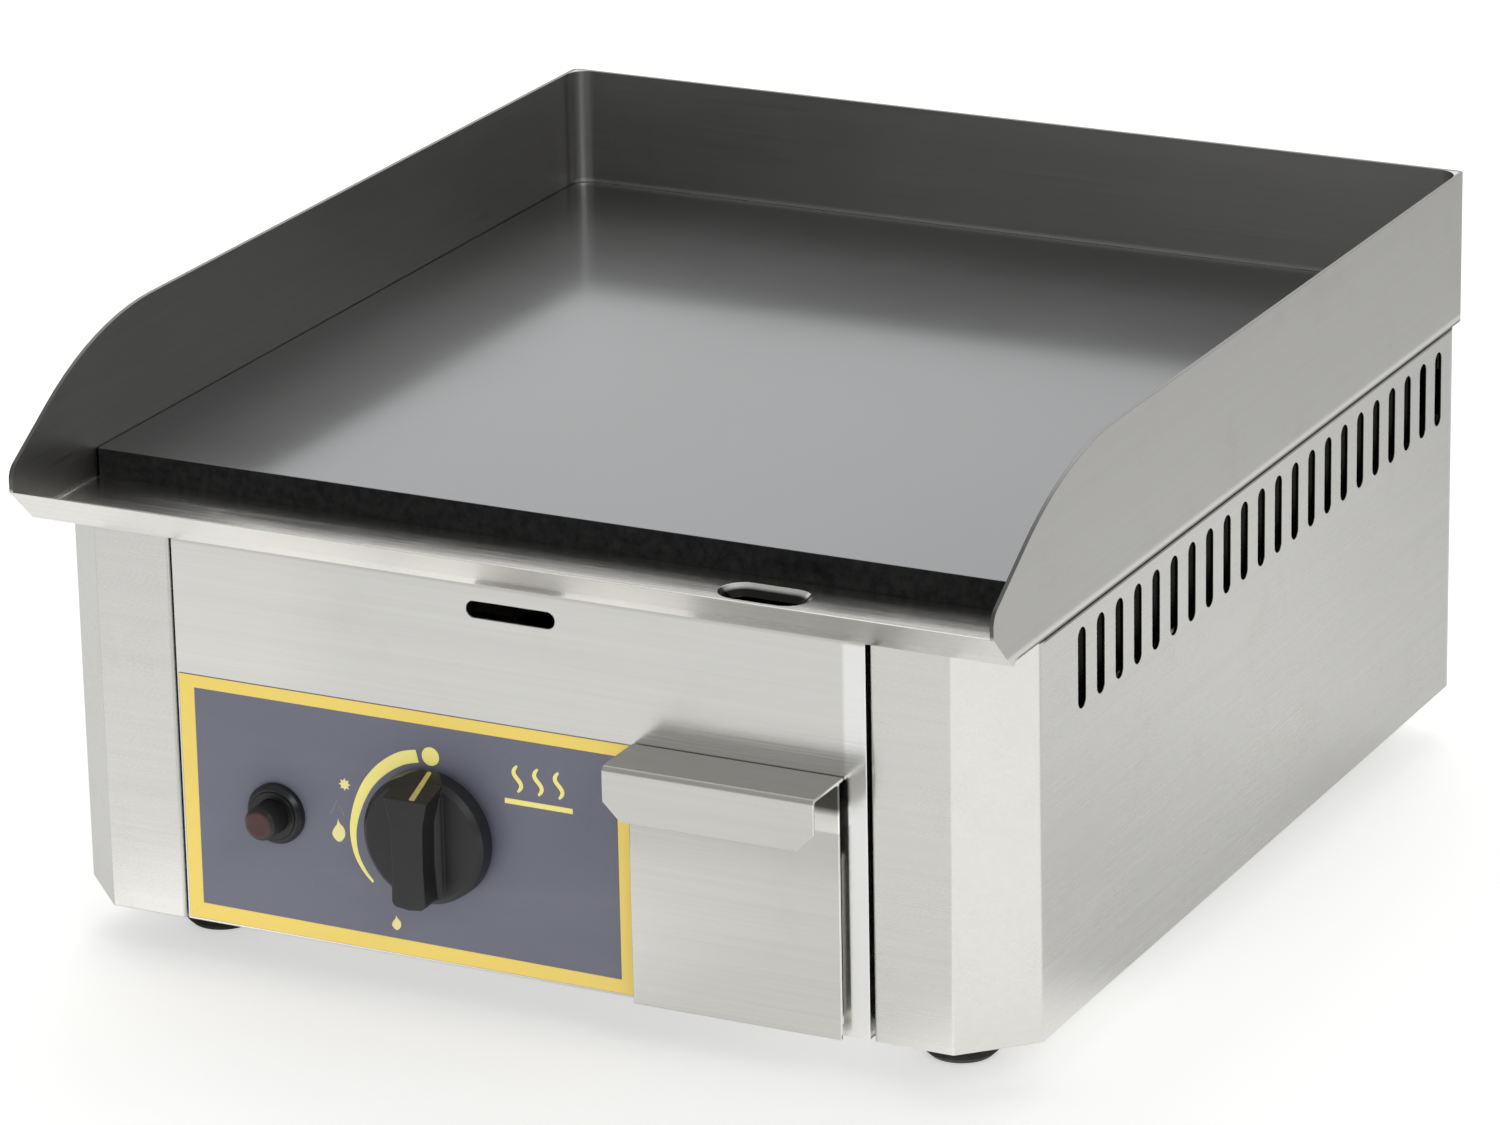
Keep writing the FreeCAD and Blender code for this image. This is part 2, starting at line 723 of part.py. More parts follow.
# ---------------------------------------------------------------- drain chute and grease drawer
def drain_chute():
    """Tube from under the hood's drain down to the drawer."""
    body = piece("drain_chute", drain_x, drain_y)
    pad(body, "XY", box_high + 4, floor_z - hood_gauge - 1,
        *[("slot", 0, 0, drain_length + extra, drain_width + extra) for extra in (4.8, 2.4)])


def drawer_front():
    body = piece("drawer_front", drawer_x)
    front_y, handle_y = -drawer_proud, -handle_out
    shelf_low, shelf_back = drawer_top - gauge, -0.6
    # y, z, corner radius: the handle's shelf runs back over the front's top edge
    pad(body, "YZ", -drawer_half, drawer_half, ("poly", [
        (front_y + gauge, drawer_low), (front_y + gauge, shelf_low), (shelf_back, shelf_low),
        (shelf_back, drawer_top), (handle_y, drawer_top, 2.2), (handle_y, handle_low),
        (handle_y + gauge, handle_low), (handle_y + gauge, shelf_low, 1),
        (front_y, shelf_low, 1), (front_y, drawer_low)]))
    # cut lower corners of the handle
    corner = [
        (drawer_half + 1, handle_low - 1), (drawer_half + 1, handle_low + handle_cut + 1),
        (drawer_half - handle_cut - 1, handle_low - 1)]
    for side in (-1, 1):
        pocket(body, "XZ", handle_y - 1, handle_y + gauge + 1, ("poly", to_side(corner, side)))


def drawer_box():
    body = piece("drawer_box", drawer_x)
    wall = 1
    front = gauge - drawer_proud
    pad(body, "XY", box_low, box_high, ("rect", -box_half, front, box_half, box_end, 4))
    pocket(body, "XY", box_low + wall, box_high + 1,
           ("rect", -box_half + wall, front + wall, box_half - wall, box_end - wall, 3))


def drawer_runner(label, side):
    body = piece(label, drawer_x)
    wall = box_half + 0.5
    ledge = box_low - 0.2
    # x, z: upright wall with a ledge under the drawer
    pad(body, "XZ", 32, 318, ("poly", to_side([
        (wall, pan_top), (wall + gauge, pan_top), (wall + gauge, 24), (wall, 24),
        (wall, ledge), (wall - 12, ledge), (wall - 12, ledge - gauge),
        (wall, ledge - gauge)], side)))


# ---------------------------------------------------------------- control knob
def knob():
    rear = -knob_gap
    disc = rear - knob_disc
    grip_y = -knob_grip
    half = grip_width / 2
    body = turned("knob", knob_x, 0, knob_z, "H", [
        (rear, 0), (rear, knob_radius), (disc + 2, knob_radius - 0.4),
        (disc, knob_radius - 2.4), (disc, 0)])
    # grip bar: slim at the middle, flared towards its pointer end at the top
    # x, z, corner radius
    pad(body, "XZ", grip_y, disc + 0.5, ("poly", [
        (-half - 0.6, -(knob_radius - 3.2), 2.5), (0, -(knob_radius - 2.3)),
        (half + 0.6, -(knob_radius - 3.2), 2.5), (half, -6, 30), (half + 0.3, 10, 22),
        (half + 3.2, knob_radius - 2.4, 1), (0, knob_radius - 0.6),
        (-half - 3.2, knob_radius - 2.4, 1), (-half - 0.3, 10, 22), (-half, -6, 30)]))
    # its flanks run out on the disc in a hollow foot: x, y, corner radius
    pad(body, "XY", -20.6, 19, ("poly", [
        (-half - 3.2, disc + 0.4), (-half - 3.2, disc - 0.12), (-half + 0.2, disc - 0.12, 2.9),
        (-half + 0.2, disc - 4), (half - 0.2, disc - 4), (half - 0.2, disc - 0.12, 2.9),
        (half + 3.2, disc - 0.12), (half + 3.2, disc + 0.4)]))
    # the pointer end slopes back over the disc to its rear rim
    pocket(body, "YZ", -half - 3.4, half + 3.4, ("poly", [
        (grip_y - 1, 19.7), (rear + 1, knob_radius + 0.05), (rear + 1, knob_radius + 2),
        (grip_y - 1, knob_radius + 2)]))
    # hollow back around the hub, then the stem socket
    pocket(body, "XZ", disc + 2, rear + 1,
           ("circle", 0, 0, knob_radius - 2), ("circle", 0, 0, 7.5))
    pocket(body, "XZ", stem_front, rear + 1, ("circle", 0, 0, stem_radius))


# ---------------------------------------------------------------- gas tap; outlines are y, radius
def valve_stem():
    stem_end = plug_rear - 4.1
    turned("valve_stem", knob_x, 0, knob_z, "H", [
        (stem_front, 0), (stem_front, stem_radius - 0.5), (stem_front + 0.5, stem_radius),
        (4.8, stem_radius), (4.8, 5.8), (6, 5.8), (6, stem_radius), (stem_end, stem_radius),
        (stem_end, 0)])


def valve_plug():
    body = turned("valve_plug", knob_x, 0, knob_z, "H", [
        (plug_front, stem_radius + clearance), (plug_front, plug_large - clearance),
        (plug_rear, plug_small - clearance), (plug_rear, stem_radius + clearance)])
    pocket(body, "XY", 0, 15, ("circle", 0, 36, 1.6))


def gas_valve_body():
    body = piece("gas_valve_body", knob_x, 0, knob_z)
    pipe_z = gas_z - knob_z
    pad(body, "XZ", tap_block, tap_rear, ("rect", -16, -17, 16, 17, 4))
    pad(body, "XZ", tap_front, tap_block + 1, ("circle", 0, 0, boss_radius))
    pad(body, "XY", 15, 25, ("circle", 0, outlet_y, 7))
    pad(body, "XY", -38, -15, ("circle", 0, inlet_y, 8))
    pad(body, "YZ", -16, 0, ("circle", inlet_y, pipe_z, 8))
    # stem bore, plug seat, wall with the rod bush, safety chamber
    revolve(body, "H", [
        (tap_front - 1, 0), (tap_front - 1, stem_radius + clearance),
        (plug_front - 0.1, stem_radius + clearance), (plug_front - 0.1, plug_large),
        (plug_front, plug_large), (plug_rear, plug_small), (plug_rear + 0.1, plug_small),
        (plug_rear + 0.1, rod_radius + clearance), (52, rod_radius + clearance), (52, 7),
        (tap_rear + 1, 7), (tap_rear + 1, 0)], groove=True)
    # gas ways: in from below into the chamber, out at the top of the plug
    pocket(body, "XY", -32, -5, ("circle", 0, 56, 3))
    pocket(body, "YZ", -20, 0, ("circle", inlet_y, pipe_z, gas_bore))
    pocket(body, "XY", 5, 30, ("circle", 0, outlet_y, 3))
    # bracket screw holes
    pocket(body, "XZ", tap_block - 1, tap_block + 6.2,
           *[("circle", bracket_screw_x * side, 0, bracket_screw_radius) for side in (-1, 1)])


def safety_rod():
    turned("safety_rod", knob_x, 0, knob_z, "H", [
        (plug_rear - 4, 0), (plug_rear - 4, rod_radius), (54, rod_radius), (54, 5.4),
        (56, 5.4), (56, 2.2), (60, 2.2), (60, 0)])


def safety_magnet():
    turned("safety_magnet", knob_x, 0, knob_z, "H", [
        (61, 3.2), (61, 7), (tap_rear, 7), (tap_rear, 10), (67, 10), (67, 8), (84, 8), (86, 5),
        (86, 1.3), (72, 1.3), (72, 0), (66, 0), (66, 3.2)])


def valve_bracket():
    body = piece("valve_bracket", knob_x, 0, knob_z)
    inside, outside, ear = 24.8, 26, 36
    # x, y: a channel over the tap's front with an ear on either side
    pad(body, "XY", -13, 13, ("poly", [
        (-ear, gauge), (-inside, gauge), (-inside, tap_block - gauge),
        (inside, tap_block - gauge), (inside, gauge), (ear, gauge), (ear, 2 * gauge),
        (outside, 2 * gauge), (outside, tap_block), (-outside, tap_block),
        (-outside, 2 * gauge), (-ear, 2 * gauge)]))
    pocket(body, "XZ", tap_block - 3, tap_block + 1, ("circle", 0, 0, boss_radius),
           *[("circle", bracket_screw_x * side, 0, bracket_screw_radius) for side in (-1, 1)])


def valve_bracket_screws():
    group("valve_bracket_screws", [
        screw("bracket_screw_%d" % i, "Y", knob_x + bracket_screw_x * side,
              tap_block - gauge, knob_z, shank=(0, bracket_screw_radius, 6.5),
              head=(-screw_head, 2.9, screw_head))
        for i, side in enumerate((-1, 1))])


def valve_springs():
    spring("stem_spring", knob_x, 6.6, knob_z, length=8.8, turns=4, radius=5.2, wire_radius=0.5)
    spring("safety_spring", knob_x, 56.5, knob_z, length=4, turns=3, radius=4, wire_radius=0.35)


# ---------------------------------------------------------------- igniter; outlines are y, radius
def igniter_body():
    bore = ign_button + 0.1
    turned("igniter_body", ign_x, 0, ign_z, "H", [
        (-4.6, bore), (-4.6, ign_barrel), (gauge, ign_barrel), (gauge, 11), (gauge + 3, 11),
        (gauge + 3, ign_barrel), (40, ign_barrel), (42, 7), (42, 3), (52, 3), (52, 0),
        (24, 0), (24, bore)])


def igniter_bezel_nut():
    turned("igniter_bezel_nut", ign_x, 0, ign_z, "H", [
        (-label_thickness, ign_barrel), (-label_thickness, ign_bezel), (-2.4, ign_bezel, 0.8),
        (-4.2, 10.4), (-4.2, ign_barrel)])


def igniter_button():
    turned("igniter_button", ign_x, 0, ign_z, "H", [
        (-ign_out, 0), (-ign_out, ign_button - 1.6), (-ign_out + 1.4, ign_button),
        (12, ign_button), (12, 0)])


def igniter_spring():
    spring("igniter_spring", ign_x, 12.6, ign_z,
           length=10.8, turns=4, radius=5.4, wire_radius=0.5)


def ignition_wire():
    """From the igniter's rear end back and up to the front rail."""
    pipe(piece("ignition_wire", ign_x), "YZ", None,
         [(52, ign_z), (front_rail_y, ign_z, 18), (front_rail_y, 70)],
         "XZ", 52, ("circle", 0, ign_z, 1.8))


def electrode_insulator():
    """Turned about Z: radius, z."""
    turned("electrode_insulator", ign_x, front_rail_y, 0, "V", [
        (0, 70), (3.5, 70), (3.5, rail_z), (6, rail_z), (6, rail_z + 2.5), (3.5, rail_z + 2.5),
        (3.5, 106), (2.6, 108), (0, 108)])


def electrode_rod():
    pipe(piece("electrode_rod", ign_x, front_rail_y), "XZ", None,
         [(0, 108), (0, 117, 4), (14, 119)], "XY", 108, ("circle", 0, 0, 1))


def thermocouple():
    """A lead from behind the tap, with a thicker upright end and a collar on the rail."""
    body = piece("thermocouple", knob_x)
    pipe(body, "YZ", None, [(74, knob_z), (front_rail_y, knob_z, 18), (front_rail_y, 92)],
         "XZ", 74, ("circle", 0, knob_z, 1.2))
    pad(body, "XY", 80, 122, ("circle", 0, front_rail_y, 2.6))
    pad(body, "XY", rail_z, rail_z + 3, ("circle", 0, front_rail_y, 5))


# ---------------------------------------------------------------- burner
def burner():
    """Mixing tube, manifold and three branches; made solid, then hollowed in the same order."""
    body = piece("burner")
    branches = (-burn_pitch, 0, burn_pitch)
    half = burn_pitch + manifold_reach
    pad(body, "XZ", burn_front, burn_end, *[("circle", x, burn_z, burn_radius) for x in branches])
    pad(body, "YZ", -half, half, ("circle", burn_front, burn_z, manifold_radius))
    pad(body, "XZ", venturi_y, burn_front, ("circle", knob_x, burn_z, venturi_radius))
    pocket(body, "YZ", -half + tube_wall, half - tube_wall,
           ("circle", burn_front, burn_z, manifold_radius - tube_wall))
    pocket(body, "XZ", burn_front, burn_end - tube_wall,
           *[("circle", x, burn_z, burn_radius - tube_wall) for x in branches])
    pocket(body, "XZ", venturi_y - 1, burn_front,
           ("circle", knob_x, burn_z, venturi_radius - tube_wall))
    ports = pocket(body, "XY", burn_z + 5, burn_z + 20,
                   *[("circle", x, 166, 1.4) for x in branches])
    rows(body, ports, "Y", 186, 32)


def air_shutter():
    body = piece("air_shutter", knob_x, 0, burn_z)
    length = 18
    pad(body, "XZ", venturi_y, venturi_y + length,
        ("circle", 0, 0, venturi_radius + 1.2), ("circle", 0, 0, venturi_radius))
    pocket(body, "XY", 0, 20, ("slot", 0, venturi_y + length / 2, 10, 4, True))


def burner_rail(label, y, *holes):
    """A channel, open below, from wall to wall, with a tab down each side panel."""
    body = piece(label, 0, y)
    half = rail_width / 2
    span = side_half - gauge
    low = rail_z - rail_height
    # y, z
    pad(body, "YZ", -span, span, ("poly", [
        (-half, low), (-half, rail_z), (half, rail_z), (half, low), (half - gauge, low),
        (half - gauge, rail_z - gauge), (-half + gauge, rail_z - gauge), (-half + gauge, low)]))
    tab = [(span, low - 10), (span, rail_z), (span - gauge, rail_z), (span - gauge, low - 10)]
    for side in (-1, 1):
        pad(body, "XZ", -half, half, ("poly", to_side(tab, side)))
    if holes:
        pocket(body, "XY", rail_z - 3, rail_z + 1, *holes)


def burner_straps():
    """Half rings over the outer branches, with legs and feet down to the rails."""
    width, foot_length = 12, 9
    straps = []
    stations = [(side, y) for y in (front_rail_y, rear_rail_y) for side in (-1, 1)]
    for i, (side, rail_y) in enumerate(stations):
        x = burn_pitch * side
        y = rail_y - width / 2
        ring = cut("strap_ring_%d" % i,
                   cylinder("strap_outer_%d" % i, x, y, burn_z, burn_radius + gauge, width, "Y"),
                   cylinder("strap_inner_%d" % i, x, y, burn_z, burn_radius, width, "Y"))
        lower_half = block("strap_low_%d" % i, x - 20, rail_y - 10, burn_z - 40, 40, 20, 40)
        arch = cut("strap_arch_%d" % i, ring, lower_half)
        legs = []
        for end in (-1, 1):
            leg_x = x + (burn_radius if end > 0 else -burn_radius - gauge)
            foot_left = x + (burn_radius if end > 0 else -burn_radius - foot_length)
            legs.append(block("strap_leg_%d_%d" % (i, end + 1), leg_x, y, rail_z,
                              gauge, width, burn_z - rail_z))
            legs.append(block("strap_foot_%d_%d" % (i, end + 1), foot_left, y, rail_z,
                              foot_length, width, gauge))
        straps.append(fuse("strap_%d" % i, arch, *legs))
    group("burner_straps", straps)


# ---------------------------------------------------------------- injector line
def injector_pipe():
    """Up from the tap's outlet, then back towards the mixing tube."""
    low = knob_z + 22
    pipe(piece("injector_pipe", knob_x), "YZ", None,
         [(outlet_y, low), (outlet_y, burn_z, 12), (64, burn_z)],
         "XY", low, ("circle", 0, outlet_y, 3))


def injector_holder():
    turned("injector_holder", knob_x, 0, burn_z, "H", [
        (62, 3), (62, 8), (74, 8), (74, 2), (64, 2), (64, 3)])


def injector():
    turned("injector", knob_x, 0, burn_z, "H", [
        (68, 0.5), (68, 2), (74, 2), (74, 5), (78, 5), (82, 3), (82, 0.5)])


# ---------------------------------------------------------------- gas inlet
HEX_RADIUS = 15.6  # centre to corner, fitting and locknut


def inlet_pipe():
    """From the fitting forward, then right to the tap."""
    pipe(piece("inlet_pipe"), "XY", gas_z,
         [(gas_x, 416), (gas_x, inlet_y, 25), (knob_x - 12, inlet_y)],
         "XZ", 416, ("circle", gas_x, gas_z, gas_bore))


def gas_inlet_fitting():
    body = piece("gas_inlet_fitting", gas_x, 0, gas_z)
    neck_end = case_back + gauge + locknut
    pad(body, "XZ", 419, case_back, ("poly", hexagon(HEX_RADIUS)))
    # y, radius
    revolve(body, "H", [
        (412, 4), (412, 8), (420, 8), (420, gas_neck), (neck_end, gas_neck),
        (neck_end, gas_thread), (gas_end - 1, gas_thread), (gas_end, gas_thread - 1),
        (gas_end, 6), (424, 6), (424, 4)])
    pocket(body, "XZ", 400, gas_end + 1, ("circle", 0, 0, gas_bore))


def inlet_locknut():
    body = piece("inlet_locknut", gas_x, 0, gas_z)
    pad(body, "XZ", case_back + gauge, case_back + gauge + locknut,
        ("poly", hexagon(HEX_RADIUS)), ("circle", 0, 0, gas_neck))


# ---------------------------------------------------------------- feet and casing screws
def feet():
    """Four turned feet: radius, z."""
    for name, side, y in FEET:
        turned(name, foot_x * side, y, 0, "V", [
            (foot_screw_radius, gauge), (foot_radius - 1.6, gauge),
            (foot_radius, -foot_height + 2), (foot_radius - 2, -foot_height),
            (6, -foot_height), (6, -12), (foot_screw_radius, -12)])


def foot_screws():
    group("foot_screws", [
        screw("foot_screw_%d" % i, "Z", foot_x * side, y, 0,
              shank=(-12, foot_screw_radius, 22), head=(-16, 5.5, 4))
        for i, (name, side, y) in enumerate(FEET)])


def foot_nuts():
    nuts = []
    for i, (name, side, y) in enumerate(FEET):
        prism = doc.addObject("Part::Prism", "foot_nut_hex_%d" % i)
        prism.Polygon = 6
        bind(prism, "Circumradius", 5.77)
        bind(prism, "Height", 5)
        place(prism, foot_x * side, y, pan_top)
        bore = cylinder("foot_nut_bore_%d" % i, foot_x * side, y, 0, foot_screw_radius, 12)
        nuts.append(cut("foot_nut_%d" % i, prism, bore))
    group("foot_nuts", nuts)


def back_panel_screws():
    spots = [(side, z) for side in (-1, 1) for z in BACK_SCREW_Z]
    group("back_panel_screws", [
        screw("back_screw_%d" % i, "Y", screw_x * side, case_back, z,
              shank=(-6, screw_radius, 6 + gauge), head=(gauge, screw_head_radius, screw_head))
        for i, (side, z) in enumerate(spots)])


def base_screws():
    spots = [(side, y) for side in (-1, 1) for y in BASE_SCREW_Y]
    group("base_screws", [
        screw("base_screw_%d" % i, "Z", screw_x * side, y, 0,
              shank=(0, screw_radius, 8), head=(-screw_head, screw_head_radius, screw_head))
        for i, (side, y) in enumerate(spots)])


# ---------------------------------------------------------------- build
hood()
hood_brackets()
griddle_plate()
side_panel("left_side_panel", -1)
side_panel("right_side_panel", 1)
for build in (front_fascia, control_label, back_panel, base_pan, heat_shield, drain_chute,
              drawer_front, drawer_box):
    build()
drawer_runner("left_drawer_runner", -1)
drawer_runner("right_drawer_runner", 1)
for build in (knob, valve_stem, valve_plug, gas_valve_body, safety_rod, safety_magnet,
              valve_bracket, valve_bracket_screws, valve_springs, igniter_body,
              igniter_bezel_nut, igniter_button, igniter_spring, ignition_wire,
              electrode_insulator, electrode_rod, thermocouple, burner, air_shutter):
    build()
burner_rail("front_burner_rail", front_rail_y,
            ("circle", ign_x, 0, 3.5), ("circle", knob_x, 0, 2.6))
burner_rail("rear_burner_rail", rear_rail_y)
for build in (burner_straps, injector_pipe, injector_holder, injector, inlet_pipe,
              gas_inlet_fitting, inlet_locknut, feet, foot_screws, foot_nuts,
              back_panel_screws, base_screws):
    build()
doc.recompute()

# ---------------------------------------------------------------- checks, then a file per piece
faults = []
for item in doc.Objects:
    if "Invalid" in item.State or "Error" in item.State:
        faults.append("%s: %s %s" % (item.Name, item.State, item.getStatusString()))
for feature in removals:
    base = feature.BaseFeature
    if base is not None and base.Shape.Volume - feature.Shape.Volume < 1e-3:
        faults.append("%s removes nothing" % feature.Name)
for item in made:
    if item.Shape.isNull() or not item.Shape.isValid() or not item.Shape.Solids:
        faults.append("%s has no valid solid" % item.Label)
if faults:
    raise RuntimeError("; ".join(faults))

os.makedirs("parts", exist_ok=True)
for item in made:
    item.Shape.exportStep("parts/%s.step" % item.Label)
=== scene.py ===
"""Looks of a tabletop gas griddle: a brushed stainless casing with a hood round three sides of a
steel plate, and a control foil with knob and igniter on its front.

In the frame x runs across the width from its middle, y from front to back and z up from the
worktop. Frame values are in metres. Outlines drawn with point() or on the foil are in millimetres
from the casing datum: mid width, front plane of the fascia, underside of the casing.
"""
import math
from functools import cached_property, reduce

import bmesh
import bpy
from mathutils import Matrix, Vector


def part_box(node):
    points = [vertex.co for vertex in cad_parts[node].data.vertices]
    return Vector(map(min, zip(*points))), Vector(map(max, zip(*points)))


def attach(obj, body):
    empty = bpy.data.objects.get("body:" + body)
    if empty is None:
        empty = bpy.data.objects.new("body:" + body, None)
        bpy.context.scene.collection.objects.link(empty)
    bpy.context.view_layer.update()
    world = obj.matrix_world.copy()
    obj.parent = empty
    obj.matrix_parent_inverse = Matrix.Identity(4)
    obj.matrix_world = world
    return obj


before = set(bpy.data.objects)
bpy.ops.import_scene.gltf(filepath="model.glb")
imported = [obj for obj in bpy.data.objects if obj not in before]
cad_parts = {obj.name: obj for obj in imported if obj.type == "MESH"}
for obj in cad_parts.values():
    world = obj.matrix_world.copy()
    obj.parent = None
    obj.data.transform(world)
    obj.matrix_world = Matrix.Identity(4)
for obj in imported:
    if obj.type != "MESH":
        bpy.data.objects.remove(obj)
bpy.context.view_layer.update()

# ---------------------------------------------------------------- places taken from the frame
MM = 0.001
FRONT_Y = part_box("front_fascia")[0].y
FOOT_OVERLAP = 0.0012                      # the feet reach this far above the casing's underside
BASE_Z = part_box("front_left_foot")[1].z - FOOT_OVERLAP
PLATE_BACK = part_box("griddle_plate")[1].y
HOOD_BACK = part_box("hood")[1].y
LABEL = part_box("control_label")
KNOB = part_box("knob")
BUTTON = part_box("igniter_button")


def point(x, y, z):
    """A point in mm from the casing datum, in the frame."""
    return Vector((x * MM, FRONT_Y + y * MM, BASE_Z + z * MM))


def above(*heights):
    """Heights over the casing's underside, in metres."""
    return tuple(BASE_Z + height for height in heights)


def behind(*depths):
    """Depths behind the fascia's front plane, in metres."""
    return tuple(FRONT_Y + depth for depth in depths)


# ---------------------------------------------------------------- shader graphs
class Graph:
    """A node tree, with short calls for the nodes used here."""

    def __init__(self, tree):
        self.tree = tree
        tree.nodes.clear()

    def feed(self, socket, value):
        if isinstance(value, bpy.types.NodeSocket):
            self.tree.links.new(value, socket)
        elif socket.type == "RGBA":
            socket.default_value = (*value, 1)
        else:
            socket.default_value = value

    def node(self, kind, inputs=None, **settings):
        node = self.tree.nodes.new(kind)
        for name, value in settings.items():
            setattr(node, name, value)
        for key, value in (inputs or {}).items():
            self.feed(node.inputs[key], value)
        return node

    def math(self, operation, *values):
        inputs = dict(enumerate(values))
        return self.node("ShaderNodeMath", inputs, operation=operation).outputs[0]

    def add(self, *terms):
        return reduce(lambda a, b: self.math("ADD", a, b), terms)

    def mul(self, *factors):
        return reduce(lambda a, b: self.math("MULTIPLY", a, b), factors)

    def sub(self, a, b):
        return self.math("SUBTRACT", a, b)

    def abs(self, value):
        return self.math("ABSOLUTE", value)

    def length(self, a, b):
        return self.math("SQRT", self.add(self.mul(a, a), self.mul(b, b)))

    def dot(self, a, b):
        node = self.node("ShaderNodeVectorMath", {0: a, 1: b}, operation="DOT_PRODUCT")
        return node.outputs["Value"]

    def remap(self, value, span, to=(0, 1), smooth=False):
        """Turn the span of a value into the range `to`, held level beyond its ends."""
        inputs = {"From Min": span[0], "From Max": span[1],
                  "To Min": to[0], "To Max": to[1], "Value": value}
        kind = "SMOOTHSTEP" if smooth else "LINEAR"
        return self.node("ShaderNodeMapRange", inputs, interpolation_type=kind).outputs[0]

    def vary(self, noise, low=0, high=1):
        """Spread the usual range of a noise from low to high."""
        return self.remap(noise, (0.3, 0.7), to=(low, high))

    def mix(self, factor, a, b, blend="MIX"):
        """Colour a at factor 0, b at factor 1."""
        node = self.node("ShaderNodeMix", data_type="RGBA", blend_type=blend)
        for index, value in ((0, factor), (6, a), (7, b)):
            self.feed(node.inputs[index], value)
        return node.outputs[2]

    def lerp(self, factor, a, b):
        """Number a at factor 0, b at factor 1."""
        inputs = {0: factor, 2: a, 3: b}
        node = self.node("ShaderNodeMix", data_type="FLOAT")
        for index, value in inputs.items():
            self.feed(node.inputs[index], value)
        return node.outputs[0]

    def split(self, vector):
        return self.node("ShaderNodeSeparateXYZ", {0: vector}).outputs


class Surface(Graph):
    """A new material: a principled shader and the nodes that drive it."""

    def __init__(self, name):
        self.material = bpy.data.materials.new(name)
        self.material.use_nodes = True
        super().__init__(self.material.node_tree)
        self.shader = self.node("ShaderNodeBsdfPrincipled")
        self.node("ShaderNodeOutputMaterial", {0: self.shader.outputs[0]})
        self.pos = self.node("ShaderNodeTexCoord").outputs["Object"]

    @cached_property
    def geometry(self):
        return self.node("ShaderNodeNewGeometry").outputs

    def put(self, socket, value):
        self.feed(self.shader.inputs[socket], value)

    def mapped(self, stretch=(1, 1, 1), shift=(0, 0, 0)):
        inputs = {"Scale": stretch, "Location": shift, "Vector": self.pos}
        return self.node("ShaderNodeMapping", inputs).outputs[0]

    def noise(self, scale=1.0, detail=4, rough=0.55, distort=0.0, **mapping):
        """Noise over the object, stretched or shifted if the mapping asks for it."""
        vector = self.mapped(**mapping) if mapping else self.pos
        inputs = {"Scale": scale, "Detail": detail, "Roughness": rough,
                  "Distortion": distort, "Vector": vector}
        return self.node("ShaderNodeTexNoise", inputs).outputs["Fac"]

    def rounded(self, radius):
        """Normals that look rounded at the edges."""
        return self.node("ShaderNodeBevel", {"Radius": radius}, samples=6).outputs[0]

    def relief(self, height, strength, depth, bevel):
        """Bump over rounded edges, put on the shader."""
        inputs = {"Strength": strength, "Distance": depth,
                  "Height": height, "Normal": self.rounded(bevel)}
        self.put("Normal", self.node("ShaderNodeBump", inputs).outputs[0])

    def edge(self, radius):
        """0 on flats, towards 1 where the rounded normal turns from the face's own."""
        own = self.node("ShaderNodeNewGeometry").outputs["Normal"]
        return self.remap(self.dot(self.rounded(radius), own), (0.995, 0.86))


def tint(colour, factor):
    return tuple(min(1, part * factor) for part in colour)


